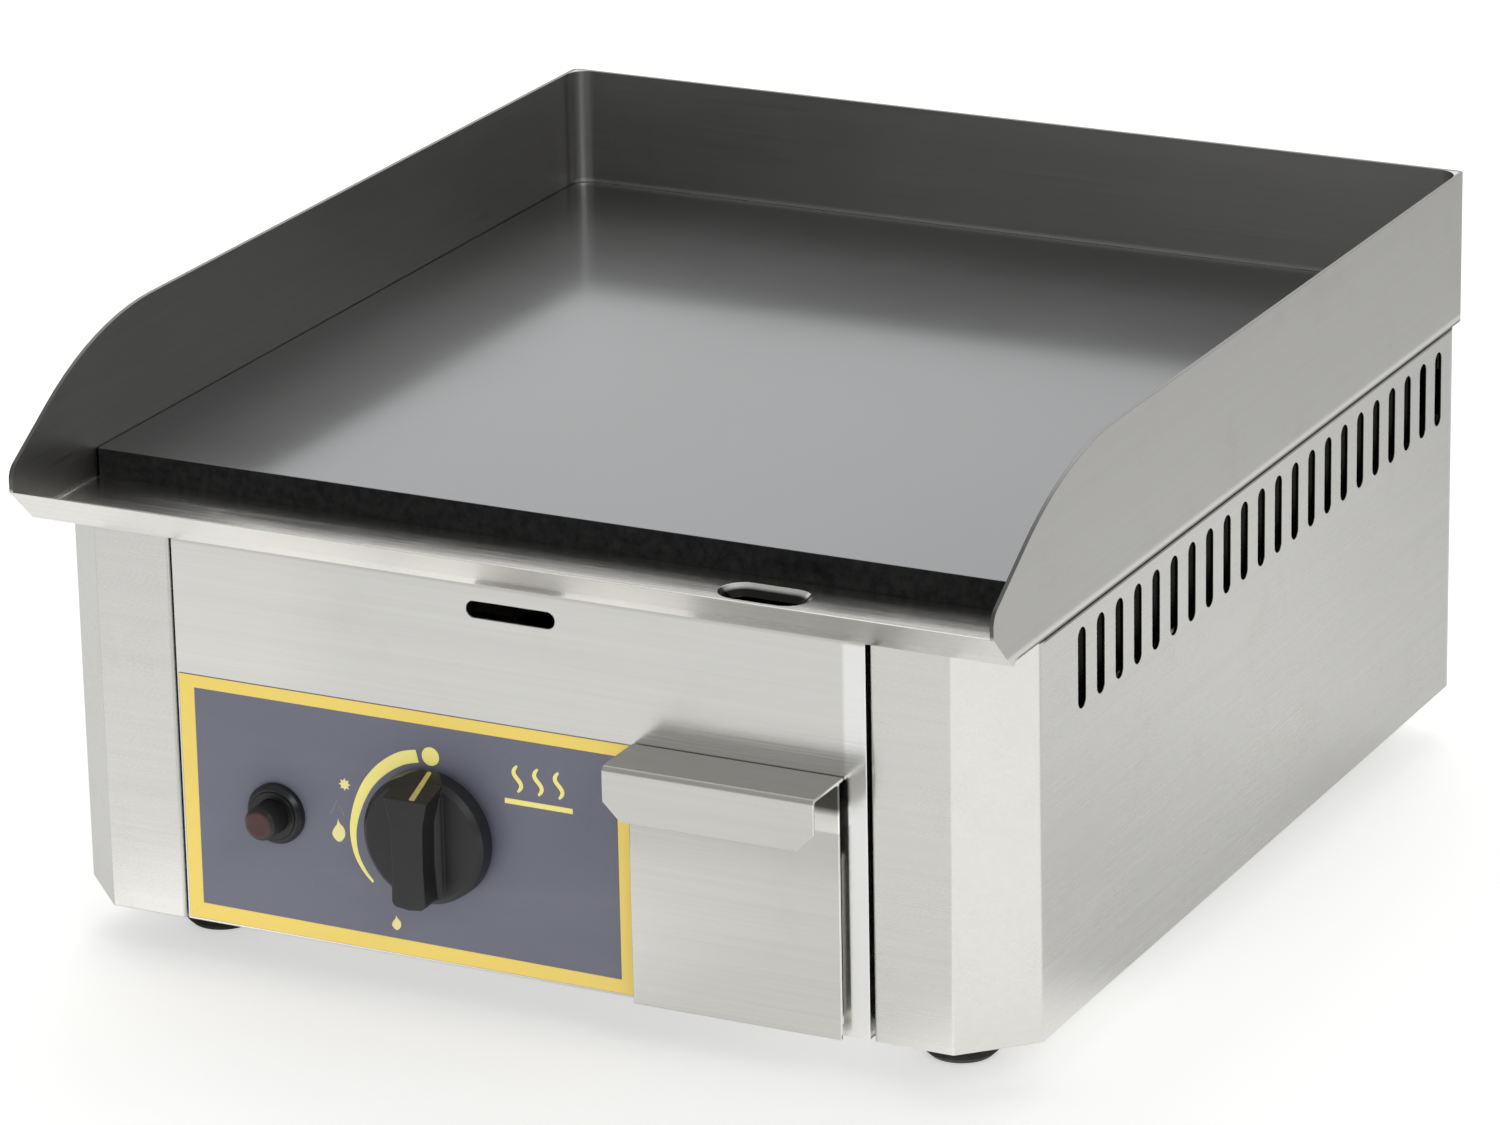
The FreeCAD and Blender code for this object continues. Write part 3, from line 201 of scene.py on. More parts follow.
# ---------------------------------------------------------------- brushed steel
def brushed(name, base, rough, anisotropy, grain=1.0, smudge=1.0, bevel=0.0006,
            shade=None, wear_and_painted_light=0.5, dull=None):
    """Brushed sheet, its grain along the width, or along the depth on faces that look sideways.
    shade(mat) multiplies painted light and shade into the colour and dull(mat) adds roughness
    from place to place."""
    mat = Surface(name)
    normal_x, _, normal_z = mat.split(mat.geometry["True Normal"])
    side = mat.remap(mat.abs(normal_x), (0.6, 0.8))
    up = mat.remap(mat.abs(normal_z), (0.6, 0.8))

    def strands(fine, long, shift):
        """Lines of noise: `fine` is the scale across the grain, `long` the scale along it."""
        look = {"detail": 5, "rough": 0.62, "shift": shift}
        along_width = mat.noise(stretch=(long, fine, fine), **look)
        along_depth = mat.noise(stretch=(fine, long, fine), **look)
        return mat.lerp(side, along_width, along_depth)

    fine = strands(1700.0, 14.0, shift=(0, 0, 0))
    streak = strands(420.0, 4.0, shift=(0.3, 0.7, 0.1))
    broad = strands(60.0, 1.5, shift=(1.3, 2.7, 0.6))
    cloud = mat.noise(9.0, detail=4, rough=0.6, distort=0.3)
    prints = mat.noise(34.0, detail=5, rough=0.7, shift=(3.1, 1.7, 0.4))

    # each pattern and how far it moves the tone up and down
    swings = ((fine, 0.14 * grain), (streak, 0.09 * grain),
              (broad, 0.06 * grain), (cloud, 0.07 * smudge))
    tone = mat.add(*(mat.vary(pattern, -swing, swing) for pattern, swing in swings))
    colour = mat.mix(mat.add(tone, 0.5), tint(base, 0.86), tint(base, 1.12))
    warm = (base[0] * 0.93, base[1] * 0.91, base[2] * 0.87)
    colour = mat.mix(mat.remap(prints, (0.55, 0.75), to=(0, 0.35 * smudge)), colour, warm)
    colour = mat.mix(mat.mul(mat.edge(0.0007), wear_and_painted_light), colour, tint(base, 1.2))
    # painted light and shade, multiplied into the colour
    if shade:
        colour = mat.mix(1.0, colour, shade(mat), blend="MULTIPLY")
    mat.put("Base Color", colour)
    mat.put("Metallic", 1.0)

    roughness = mat.add(mat.vary(fine, rough - 0.04, rough + 0.05),
                        mat.vary(cloud, -0.015 * smudge, 0.025 * smudge),
                        mat.remap(prints, (0.55, 0.8), to=(0, 0.05 * smudge)))
    if dull:
        roughness = mat.add(roughness, dull(mat))
    mat.put("Roughness", roughness)

    # highlights are drawn out across the grain
    mat.put("Anisotropic", anisotropy)
    tangent = mat.node("ShaderNodeCombineXYZ", {1: up, 2: mat.sub(1.0, up)})
    mat.put("Tangent", tangent.outputs[0])
    mat.relief(mat.add(fine, mat.mul(streak, 0.8)),
               strength=0.08 * grain, depth=0.0001, bevel=bevel)
    return mat


def hood_painted_light(mat):
    """Painted light and shade on the hood: the walls darker, most on the inside; the lip, and the
    gutter most at its left, lighter.
    """
    x, y, z = mat.split(mat.pos)
    normal_x, normal_y, _ = mat.split(mat.geometry["True Normal"])
    turn_x = mat.abs(normal_x)
    turn_y = mat.abs(normal_y)
    wide = mat.abs(x)

    # painted shade on the walls, inside and out, most on the inside at the left; painted light on
    # the gutter below them, most at its left end
    outer = mat.mul(mat.remap(wide, (0.1992, 0.1996)), mat.remap(turn_x, (0.6, 0.9)))
    inner_tone = mat.remap(x, (0.04, 0.17), to=(0.62, 0.74), smooth=True)
    walls = mat.lerp(outer, inner_tone, 0.74)
    gutter = mat.remap(x, (-0.19, -0.10), to=(1.40, 1.06), smooth=True)
    tone = mat.lerp(mat.remap(z, above(0.1556, 0.1572)), gutter, walls)

    # painted shade on the rim of the side walls and of the back wall, damping its highlight
    side_rim = mat.mul(mat.remap(wide, (0.1982, 0.1985)), mat.remap(turn_x, (0.6, 0.4)))
    back_rim = mat.mul(mat.remap(y, (HOOD_BACK - 0.0018, HOOD_BACK - 0.0015)),
                       mat.remap(turn_y, (0.6, 0.4)))
    rim = mat.math("MAXIMUM", side_rim, back_rim)
    tone = mat.lerp(mat.mul(rim, mat.remap(z, above(0.158, 0.160))), tone, 0.24)

    # painted light on the lip that looks forward
    lip = mat.mul(mat.remap(normal_y, (-0.2, -0.5)), mat.remap(z, above(0.1685, 0.1665)))
    lip_tone = mat.remap(x, (0.06, 0.17), to=(1.45, 1.32), smooth=True)
    tone = mat.lerp(lip, tone, lip_tone)

    # painted shadow in the joint over the side panels
    joint = mat.mul(mat.remap(wide, (0.1990, 0.1994)), mat.remap(z, above(0.1547, 0.1538)))
    tone = mat.lerp(mat.mul(joint, mat.remap(y, behind(-0.001, 0.004))), tone, 0.22)

    # painted shade down in the drain below its rim and on the cone's face that looks back: a
    # rectangle round its middle
    drain_x, drain_y = 0.091, FRONT_Y + 0.024
    near = mat.mul(mat.remap(mat.abs(mat.sub(x, drain_x)), (0.0185, 0.0182)),
                   mat.remap(mat.abs(mat.sub(y, drain_y)), (0.0095, 0.0092)))
    deep = mat.math("MAXIMUM", mat.remap(z, above(0.1541, 0.1531)),
                    mat.mul(mat.remap(normal_y, (0.15, 0.4)), 0.85))
    return mat.lerp(mat.mul(near, deep), tone, 0.05)


def hood_dull(mat):
    """The walls scatter more than the wiped gutter."""
    z = mat.split(mat.pos)[2]
    return mat.remap(z, above(0.1556, 0.1580), to=(0.0, 0.12))


def side_painted_light(mat):
    """Painted light and shade on the side panels: the front returns lighter, the flanks darker
    towards the back.
    """
    _, y, z = mat.split(mat.pos)
    normal_x, normal_y, _ = mat.split(mat.geometry["True Normal"])
    # painted shade: the flanks darker towards the back; the front returns painted lighter
    flank = mat.remap(y, (-0.02, 0.21), to=(1.0, 0.82))
    tone = mat.lerp(mat.remap(normal_y, (-0.85, -0.97)), flank, 1.27)
    # painted shade on the cut edges of the vents and a painted shadow along the top edge under
    # the hood
    cut = mat.mul(mat.remap(mat.abs(normal_x), (0.6, 0.4)),
                  mat.mul(mat.remap(z, above(0.112, 0.113)),
                          mat.remap(y, behind(0.026, 0.028))))
    top_edge = mat.mul(mat.remap(z, above(0.1509, 0.1513)), mat.remap(y, behind(0.025, 0.028)))
    return mat.lerp(cut, mat.lerp(top_edge, tone, 0.30), 0.07)


def drawer_painted_light(mat):
    """Painted shadow on the front under the shelf of the handle and a painted highlight below it;
    painted shade on the front just under the flange, the flange and shelf a little lighter.
    """
    _, y, z = mat.split(mat.pos)
    sheet = mat.mul(mat.remap(y, behind(-0.0066, -0.0060)), mat.remap(z, above(0.0985, 0.0980)))
    # painted shade on the front sheet, darker up towards the flange; the flange and shelf painted
    # a little lighter
    sheet_tone = mat.remap(z, above(0.050, 0.0795), to=(1.08, 0.92), smooth=True)
    tone = mat.lerp(sheet, 1.04, sheet_tone)
    # painted shadow on the front under the shelf of the handle
    oil_film_and_shadow = mat.mul(sheet, mat.remap(z, above(0.0875, 0.0895)))
    tone = mat.lerp(oil_film_and_shadow, tone, 0.20)
    # painted highlight on the front between the flange and the shelf's shadow
    rubbed_and_glint = mat.mul(sheet, mat.mul(mat.remap(z, above(0.0795, 0.0805)),
                                    mat.remap(z, above(0.0875, 0.0865))))
    return mat.lerp(rubbed_and_glint, tone, 1.25)


def fascia_painted_light(mat):
    """Painted light on the narrow strip beside the drawer and a painted shadow along the top
    under the lip; the left end is lighter.
    """
    x, _, z = mat.split(mat.pos)
    # painted light on the strip beside the drawer
    tone = mat.lerp(mat.remap(x, (0.1325, 0.1345)), 1.0, 1.33)
    # painted shadow along the top, under the lip
    tone = mat.lerp(mat.remap(z, above(0.1500, 0.1510)), tone, 0.84)
    return mat.mul(tone, mat.remap(x, (-0.11, -0.06), to=(1.08, 1.0), smooth=True))


fascia_steel = brushed("fascia_brushed_stainless", (0.80, 0.795, 0.77),
                       rough=0.20, anisotropy=0.55, shade=fascia_painted_light)
side_steel = brushed("side_brushed_stainless", (0.645, 0.64, 0.62),
                     rough=0.24, anisotropy=0.5, shade=side_painted_light)
hood_steel = brushed("hood_brushed_stainless", (0.66, 0.655, 0.635), rough=0.20,
                     anisotropy=0.45, bevel=0.0003, shade=hood_painted_light, wear_and_painted_light=0.0, dull=hood_dull)
drawer_steel = brushed("drawer_brushed_stainless", (0.72, 0.715, 0.69),
                       rough=0.20, anisotropy=0.55, shade=drawer_painted_light)
mill_steel = brushed("mill_finish_stainless", (0.56, 0.56, 0.55),
                     rough=0.32, anisotropy=0.3, grain=0.6, smudge=1.6)
cross_steel = brushed("cross_rail_stainless", (0.58, 0.58, 0.57),
                      rough=0.30, anisotropy=0.3, grain=0.7, smudge=1.4)
soot_steel = brushed("sooted_inner_steel", (0.05, 0.048, 0.045),
                     rough=0.55, anisotropy=0.1, grain=1.0, smudge=1.8)


# ---------------------------------------------------------------- griddle plate
def griddle_surface():
    """Thick steel plate: ground and satin polished on top, oxidised black on its sawn edges."""
    mat = Surface("griddle_plate_steel")
    normal_z = mat.split(mat.geometry["True Normal"])[2]
    x, y, _ = mat.split(mat.pos)
    top = mat.remap(normal_z, (0.6, 0.95), smooth=True)
    grind = mat.noise(detail=4, rough=0.6, stretch=(11, 1500, 1500))
    cross_grind = mat.noise(detail=4, rough=0.6, stretch=(1300, 8, 900))
    swirl = mat.node("ShaderNodeTexWave",
                     {"Scale": 9.0, "Distortion": 9, "Detail": 4,
                      "Vector": mat.mapped(stretch=(14, 14, 14), shift=(0.2, -0.1, 0))},
                     wave_type="RINGS", rings_direction="Z").outputs["Fac"]
    cloud = mat.noise(7.0, detail=5, rough=0.62, distort=0.4)
    spots = mat.noise(60.0, detail=6, rough=0.72, shift=(2, 5, 1))
    scale = mat.noise(240.0, detail=6, rough=0.7)

    tone = mat.add(mat.vary(grind, -0.10, 0.10), mat.vary(cross_grind, -0.06, 0.06),
                   mat.vary(cloud, -0.12, 0.12), mat.remap(swirl, (0, 1), to=(-0.02, 0.02)))
    # painted light and shade: paler on the left, darker towards the right
    wear_and_painted_light = mat.sub(mat.remap(x, (-0.17, -0.02), to=(0.88, 0.47), smooth=True),
                   mat.remap(x, (0.02, 0.17), to=(0, 0.22), smooth=True))
    ground = mat.mix(mat.add(mat.mul(tone, 0.5), wear_and_painted_light),
                     (0.065, 0.068, 0.074), (0.119, 0.123, 0.132))
    ground = mat.mix(mat.remap(spots, (0.62, 0.78), to=(0, 0.18)), ground, (0.17, 0.155, 0.135))
    sides = mat.mix(mat.remap(scale, (0.35, 0.7)), (0.012, 0.012, 0.014), (0.045, 0.043, 0.042))
    # painted shade along the back edge, in the crease against the hood's back wall
    back_crease_shade = mat.remap(y, (PLATE_BACK - 0.0016, PLATE_BACK - 0.0004), to=(0, 0.92))
    ground = mat.mix(back_crease_shade, ground, (0.006, 0.006, 0.006))
    mat.put("Base Color", mat.mix(top, sides, ground))
    mat.put("Metallic", mat.remap(top, (0, 1), to=(0.55, 1.0)))

    # a thin film of oil, wiped unevenly
    oil_film_and_shadow = mat.mul(mat.vary(cloud, 0.78, 1.0), mat.remap(x, (-0.17, 0.17), to=(1.0, 0.80)))
    mat.put("Coat Weight", mat.mul(top, oil_film_and_shadow))
    mat.put("Coat Roughness", mat.vary(cloud, 0.42, 0.52))

    top_rough = mat.add(mat.vary(grind, 0.12, 0.15), mat.vary(cloud, -0.01, 0.03),
                        mat.remap(spots, (0.6, 0.8), to=(0, 0.06)))
    side_rough = mat.mul(mat.sub(1.0, top), mat.vary(scale, 0.34, 0.55))
    mat.put("Roughness", mat.add(mat.mul(top_rough, top), side_rough))
    # grinding marks everywhere, mill scale standing out on the sides only
    scale_height = mat.mul(scale, mat.mul(mat.sub(1.0, top), 6.0))
    height = mat.add(mat.mul(grind, 0.6), mat.add(mat.mul(cross_grind, 0.4), scale_height))
    mat.relief(height, strength=0.05, depth=0.0001, bevel=0.0009)
    return mat


plate_steel = griddle_surface()


# ---------------------------------------------------------------- foil and plastics
def foil(name, colour, rough=0.45, glow=0.0):
    """Screen-printed foil: fine ink grain under a matt varnish with orange peel. The glow is
    painted light: emission that makes the ink brighter than the light that falls on it."""
    mat = Surface(name)
    fleck = 0.06                           # how far the ink grain moves the colour
    ink = mat.noise(3800.0, detail=2, rough=0.5)
    peel = mat.noise(700.0, detail=2, rough=0.5)
    wipe = mat.noise(detail=4, rough=0.6, distort=0.8, stretch=(8, 8, 30))
    printed = mat.mix(mat.vary(ink), tint(colour, 1 - fleck), tint(colour, 1 + fleck))
    printed = mat.mix(mat.remap(wipe, (0.5, 0.75), to=(0, 0.08)), printed, (0.5, 0.5, 0.5))
    mat.put("Base Color", printed)
    mat.put("Roughness", mat.add(mat.vary(wipe, rough - 0.06, rough + 0.07),
                                 mat.vary(ink, -0.02, 0.02)))
    mat.put("Specular IOR Level", 0.35)
    mat.put("Coat Weight", 0.12)
    mat.put("Coat Roughness", 0.22)
    mat.relief(peel, strength=0.05, depth=0.00005, bevel=0.0002)
    # painted light: the ink gives off light of its own
    if glow:
        mat.put("Emission Color", printed)
        mat.put("Emission Strength", glow)
    return mat


def plastic(name, colour, rough, grain, pitch, rubbed_and_glint, wear_and_painted_light):
    """Moulded plastic with faint flow marks. The grain has a strength and a pitch; edges turn
    towards the rubbed colour by the amount of wear."""
    mat = Surface(name)
    texture = mat.noise(pitch, detail=2, rough=0.5)
    flow = mat.noise(detail=4, rough=0.6, distort=0.6, stretch=(40, 40, 90))
    patches = mat.remap(mat.noise(420.0, detail=3, rough=0.6), (0.42, 0.62), to=(0.15, 1))
    edge = mat.mul(mat.edge(0.0009), patches)
    moulded = mat.mix(mat.vary(flow), tint(colour, 0.82), tint(colour, 1.18))
    mat.put("Base Color", mat.mix(mat.mul(edge, wear_and_painted_light), moulded, rubbed_and_glint))
    mat.put("Roughness", mat.add(mat.vary(flow, rough - 0.04, rough + 0.05),
                                 mat.vary(texture, -0.03, 0.04)))
    mat.relief(texture, strength=grain, depth=0.00006, bevel=0.0007)
    return mat


foil_field = foil("foil_grey_field", (0.222, 0.230, 0.300), rough=0.42)
# the yellow, mark and pale inks glow: painted light
foil_yellow = foil("foil_yellow_ink", (0.98, 0.73, 0.17), glow=0.24)
foil_mark = foil("foil_mark_ink", (0.97, 0.85, 0.27), glow=0.30)
foil_pale = foil("foil_pale_ink", (0.96, 0.86, 0.38), glow=0.22)
foil_grey = foil("foil_grey_ink", (0.36, 0.37, 0.36))

knob_black = plastic("knob_black_thermoset", (0.017, 0.0175, 0.0195), rough=0.36,
                     grain=0.16, pitch=2400.0, rubbed_and_glint=(0.08, 0.08, 0.085), wear_and_painted_light=0.25)
igniter_black = plastic("igniter_black_plastic", (0.012, 0.013, 0.014), rough=0.30,
                        grain=0.10, pitch=2800.0, rubbed_and_glint=(0.07, 0.07, 0.075), wear_and_painted_light=0.3)
pointer_paint = plastic("pointer_yellow_paint", (0.88, 0.72, 0.22), rough=0.45,
                        grain=0.10, pitch=2400.0, rubbed_and_glint=(0.5, 0.42, 0.2), wear_and_painted_light=0.3)
wire_red = plastic("silicone_wire_red", (0.42, 0.06, 0.03), rough=0.5,
                   grain=0.08, pitch=1800.0, rubbed_and_glint=(0.5, 0.2, 0.15), wear_and_painted_light=0.1)
ceramic = plastic("glazed_ceramic", (0.80, 0.79, 0.74), rough=0.14,
                  grain=0.03, pitch=900.0, rubbed_and_glint=(0.6, 0.58, 0.52), wear_and_painted_light=0.2)


def button_plastic():
    """Igniter button: dark body with a round red-brown cap on its front face."""
    mat = Surface("igniter_button_red_brown")
    x, y, z = mat.split(mat.pos)
    texture = mat.noise(2600.0, detail=2, rough=0.5)
    flow = mat.noise(detail=4, rough=0.6, distort=0.6, stretch=(90, 90, 90))
    cap = mat.mix(mat.vary(flow), (0.070, 0.026, 0.022), (0.105, 0.042, 0.036))
    body = mat.mix(mat.vary(flow), (0.012, 0.012, 0.013), (0.02, 0.019, 0.02))
    front = mat.remap(y, (BUTTON[0].y + 0.0024, BUTTON[0].y + 0.0010), smooth=True)
    off_axis = mat.length(mat.sub(x, (BUTTON[0].x + BUTTON[1].x) / 2),
                          mat.sub(z, (BUTTON[0].z + BUTTON[1].z) / 2))
    front = mat.mul(front, mat.remap(off_axis, (0.0056, 0.0047), smooth=True))
    colour = mat.mix(front, body, cap)
    mat.put("Base Color", mat.mix(mat.mul(mat.edge(0.0008), 0.15), colour, (0.12, 0.08, 0.07)))
    mat.put("Roughness", mat.vary(flow, 0.26, 0.38))
    mat.relief(texture, strength=0.08, depth=0.00005, bevel=0.0007)
    return mat


def foot_rubber():
    """Matt rubber, dusty in patches and scuffed near the floor."""
    mat = Surface("foot_black_rubber")
    texture = mat.noise(1500.0, detail=4, rough=0.65)
    dust = mat.noise(120.0, detail=5, rough=0.7)
    low = mat.remap(mat.split(mat.pos)[2], (0.005, 0.0), smooth=True)
    colour = mat.mix(mat.remap(dust, (0.45, 0.75)), (0.013, 0.013, 0.013), (0.035, 0.034, 0.032))
    scuff = mat.mul(low, mat.remap(dust, (0.35, 0.65), to=(0.1, 0.6)))
    mat.put("Base Color", mat.mix(scuff, colour, (0.07, 0.068, 0.064)))
    mat.put("Roughness", mat.vary(texture, 0.55, 0.8))
    mat.put("Specular IOR Level", 0.3)
    mat.relief(texture, strength=0.2, depth=0.00015, bevel=0.0008)
    return mat


# ---------------------------------------------------------------- fittings and burner
def machined(name, base, dull, rough, tarnish):
    """Turned metal with feed marks, bright edges and stains of the dull colour."""
    mat = Surface(name)
    turning = mat.noise(detail=3, rough=0.6, stretch=(900, 60, 900))
    stain = mat.noise(70.0, detail=6, rough=0.7, distort=0.5)
    colour = mat.mix(mat.remap(stain, (0.4, 0.75), to=(0, tarnish)), base, dull)
    mat.put("Base Color", mat.mix(mat.mul(mat.edge(0.0006), 0.5), colour, tint(base, 1.25)))
    mat.put("Metallic", 1.0)
    mat.put("Roughness", mat.add(mat.vary(turning, rough - 0.05, rough + 0.08),
                                 mat.remap(stain, (0.4, 0.7), to=(0, 0.15))))
    mat.relief(turning, strength=0.10, depth=0.0001, bevel=0.0004)
    return mat


# heat at which a tint starts, heat at which it is full, colour
HEAT_TINTS = (
    (0.1, 0.5, (0.52, 0.38, 0.20)),
    (0.5, 0.8, (0.25, 0.14, 0.20)),
    (0.8, 1.1, (0.12, 0.14, 0.22)),
)


def burner_metal():
    """Stainless burner tube with heat tints, strongest at its top."""
    mat = Surface("burner_heat_tinted_steel")
    z = mat.split(mat.pos)[2]
    heat = mat.add(mat.remap(z, above(0.09, 0.111)),
                   mat.vary(mat.noise(26.0, detail=4, rough=0.6), -0.35, 0.35))
    colour = (0.50, 0.48, 0.45)
    for start, full, heat_tint in HEAT_TINTS:
        colour = mat.mix(mat.remap(heat, (start, full)), colour, heat_tint)
    soot = mat.noise(190.0, detail=5, rough=0.7)
    sooted = mat.remap(soot, (0.55, 0.8), to=(0, 0.5))
    mat.put("Base Color", mat.mix(sooted, colour, (0.05, 0.045, 0.04)))
    mat.put("Metallic", 1.0)
    mat.put("Roughness", mat.vary(soot, 0.28, 0.5))
    mat.relief(soot, strength=0.1, depth=0.0002, bevel=0.0004)
    return mat


button_red = button_plastic()
rubber = foot_rubber()
brass = machined("turned_brass", (0.78, 0.58, 0.25), dull=(0.36, 0.25, 0.12),
                 rough=0.28, tarnish=0.5)
copper = machined("drawn_copper", (0.78, 0.42, 0.27), dull=(0.30, 0.15, 0.10),
                  rough=0.26, tarnish=0.7)
zinc = machined("zinc_plated_steel", (0.62, 0.63, 0.64), dull=(0.36, 0.36, 0.34),
                rough=0.3, tarnish=0.5)
burner_steel = burner_metal()

# material, the frame's pieces that wear it
FINISHES = (
    (hood_steel, "hood"),
    (plate_steel, "griddle_plate"),
    (side_steel, "left_side_panel right_side_panel"),
    (fascia_steel, "front_fascia"),
    (drawer_steel, "drawer_front"),
    (cross_steel, "back_panel front_burner_rail rear_burner_rail heat_shield valve_bracket "
                  "hood_brackets"),
    (mill_steel, "base_pan drawer_box left_drawer_runner right_drawer_runner drain_chute "
                 "burner_straps"),
    (foil_field, "control_label"),
    (knob_black, "knob"),
    (igniter_black, "igniter_bezel_nut igniter_body"),
    (button_red, "igniter_button"),
    (rubber, "front_left_foot front_right_foot rear_left_foot rear_right_foot"),
    (brass, "gas_valve_body valve_plug injector injector_holder gas_inlet_fitting "
            "inlet_locknut"),
    (copper, "inlet_pipe injector_pipe thermocouple"),
    (zinc, "valve_stem safety_rod safety_magnet valve_bracket_screws back_panel_screws "
           "base_screws foot_screws foot_nuts electrode_rod stem_spring safety_spring "
           "igniter_spring"),
    (burner_steel, "burner air_shutter"),
    (wire_red, "ignition_wire"),
    (ceramic, "electrode_insulator"),
)


def finish_piece(piece, material):
    for slot in piece.material_slots:
        slot.link = "OBJECT"
        slot.material = material
    if not piece.material_slots:
        piece.data.materials.append(material)


for finish, names in FINISHES:
    for name in names.split():
        finish_piece(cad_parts[name], finish.material)


# ---------------------------------------------------------------- mesh helpers
def link_mesh(name, bm, mat):
    """Turn the bmesh into an object in the scene."""
    mesh = bpy.data.meshes.new(name)
    bm.to_mesh(mesh)
    bm.free()
    item = bpy.data.objects.new(name, mesh)
    bpy.context.scene.collection.objects.link(item)
    mesh.materials.append(mat.material)
    return item


def add_part(name, bm, mat, body):
    bmesh.ops.recalc_face_normals(bm, faces=bm.faces[:])
    part = link_mesh(name, bm, mat)
    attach(part, body)


def add_rings(bm, rings):
    return [[bm.verts.new(place) for place in ring] for ring in rings]


def join_rings(bm, rings):
    for near, far in zip(rings, rings[1:]):
        for i in range(len(near)):
            j = (i + 1) % len(near)
            bm.faces.new((near[i], near[j], far[j], far[i]))


def cap_rings(bm, rings):
    bm.faces.new(rings[0])
    bm.faces.new(rings[-1][::-1])


def add_loft(name, rings, mat, body):
    """A closed solid through rings of points."""
    bm = bmesh.new()
    rings = add_rings(bm, rings)
    join_rings(bm, rings)
    cap_rings(bm, rings)
    add_part(name, bm, mat, body)


# ---------------------------------------------------------------- folded heat guards
# section of a guard: distance inward from its outer face, height (mm)
GUARD_PROFILE = (
    (0.0, 110.0), (0.0, 150.4), (4.8, 150.4), (4.8, 149.6),
    (0.8, 149.6), (0.8, 110.8), (3.2, 108.2), (2.6, 107.6),
)
SIDE_GUARD_X = 189.4
SIDE_GUARD_ENDS = (52.0, 411.0)
REAR_GUARD_Y = 424.4
REAR_GUARD_ENDS = (-172.0, 172.0)

for name, side in (("left_heat_guard", -1), ("right_heat_guard", 1)):
    rings = [[point(side * (SIDE_GUARD_X - inset), y, z) for inset, z in GUARD_PROFILE]
             for y in SIDE_GUARD_ENDS]
    add_loft(name, rings, soot_steel, "casing")
rings = [[point(x, REAR_GUARD_Y - inset, z) for inset, z in GUARD_PROFILE]
         for x in REAR_GUARD_ENDS]
add_loft("rear_heat_guard", rings, soot_steel, "casing")

# ---------------------------------------------------------------- printed marks on the foil
# Shapes are (x, z) in mm from the casing datum.
INK_Y = (LABEL[0].y - 0.00009, LABEL[0].y + 0.00001)    # front and back of the ink


def ink_points(outline, y):
    return [(x * MM, y, BASE_Z + z * MM) for x, z in outline]


def ink_shape(bm, outline):
    """A flat printed shape with its own thickness."""
    rings = add_rings(bm, [ink_points(outline, y) for y in INK_Y])
    cap_rings(bm, rings)
    join_rings(bm, rings)


def ink_strip(bm, left, right):
    """A printed strip between two rows of points, closed at its ends."""
    front, back = [add_rings(bm, [ink_points(row, y) for row in (left, right)])
                   for y in INK_Y]
    for i in range(len(left) - 1):
        j = i + 1
        bm.faces.new((front[0][i], front[0][j], front[1][j], front[1][i]))
        bm.faces.new((back[1][i], back[1][j], back[0][j], back[0][i]))
        for near, far in zip(front, back):
            bm.faces.new((near[i], near[j], far[j], far[i]))
    for i in (0, len(left) - 1):
        bm.faces.new((front[0][i], front[1][i], back[1][i], back[0][i]))


def ink_line(bm, path):
    """A printed line along (x, z, half width)."""
    left, right = [], []
    for i, (x, z, half) in enumerate(path):
        before = path[max(i - 1, 0)]
        after = path[min(i + 1, len(path) - 1)]
        dx = after[0] - before[0]
        dz = after[1] - before[1]
        span = math.hypot(dx, dz)
        left.append((x - dz / span * half, z + dx / span * half))
        right.append((x + dz / span * half, z - dx / span * half))
    ink_strip(bm, left, right)


def smooth_path(points, steps):
    """Catmull-Rom curve through the points."""
    path = []
    padded = [points[0], *points, points[-1]]
    for quad in zip(padded, padded[1:], padded[2:], padded[3:]):
        for j in range(steps):
            t = j / steps
            path.append(tuple(
                0.5 * (2 * b + (c - a) * t + (2 * a - 5 * b + 4 * c - d) * t * t
                       + (3 * b - a - 3 * c + d) * t ** 3)
                for a, b, c, d in zip(*quad)))
    path.append(tuple(points[-1]))
    return path


def polar_points(center_x, center_z, radii):
    """Points at equal angles, one for each radius."""
    step = 2 * math.pi / len(radii)
    return [(center_x + radius * math.cos(step * i), center_z + radius * math.sin(step * i))
            for i, radius in enumerate(radii)]


# flame outline: x in widths, z in half heights from its middle
FLAME = ((0, 1), (0.12, 0.62), (0.46, 0.2), (0.5, -0.42), (0.24, -0.88), (0, -1),
         (-0.24, -0.88), (-0.5, -0.42), (-0.34, 0.1), (-0.1, 0.5), (0, 1))


def flame_points(center_x, center_z, width, height):
    outline = smooth_path(FLAME, steps=4)[:-1]
    return [(center_x + x * width, center_z + z * height / 2) for x, z in outline]


def label_border():
    """Yellow frame from just inside the foil's edge to the grey field."""
    margin = 0.15
    low_x = LABEL[0].x / MM + margin
    high_x = LABEL[1].x / MM - margin
    low_z = (LABEL[0].z - BASE_Z) / MM + margin
    high_z = (LABEL[1].z - BASE_Z) / MM - margin
    outer = [(low_x, low_z), (high_x, low_z), (high_x, high_z), (low_x, high_z)]
    inner = [(-135.0, 7.8), (41.9, 6.7), (41.9, 94.0), (-134.8, 94.0)]
    bm = bmesh.new()
    ink_strip(bm, outer + outer[:1], inner + inner[:1])
    return bm


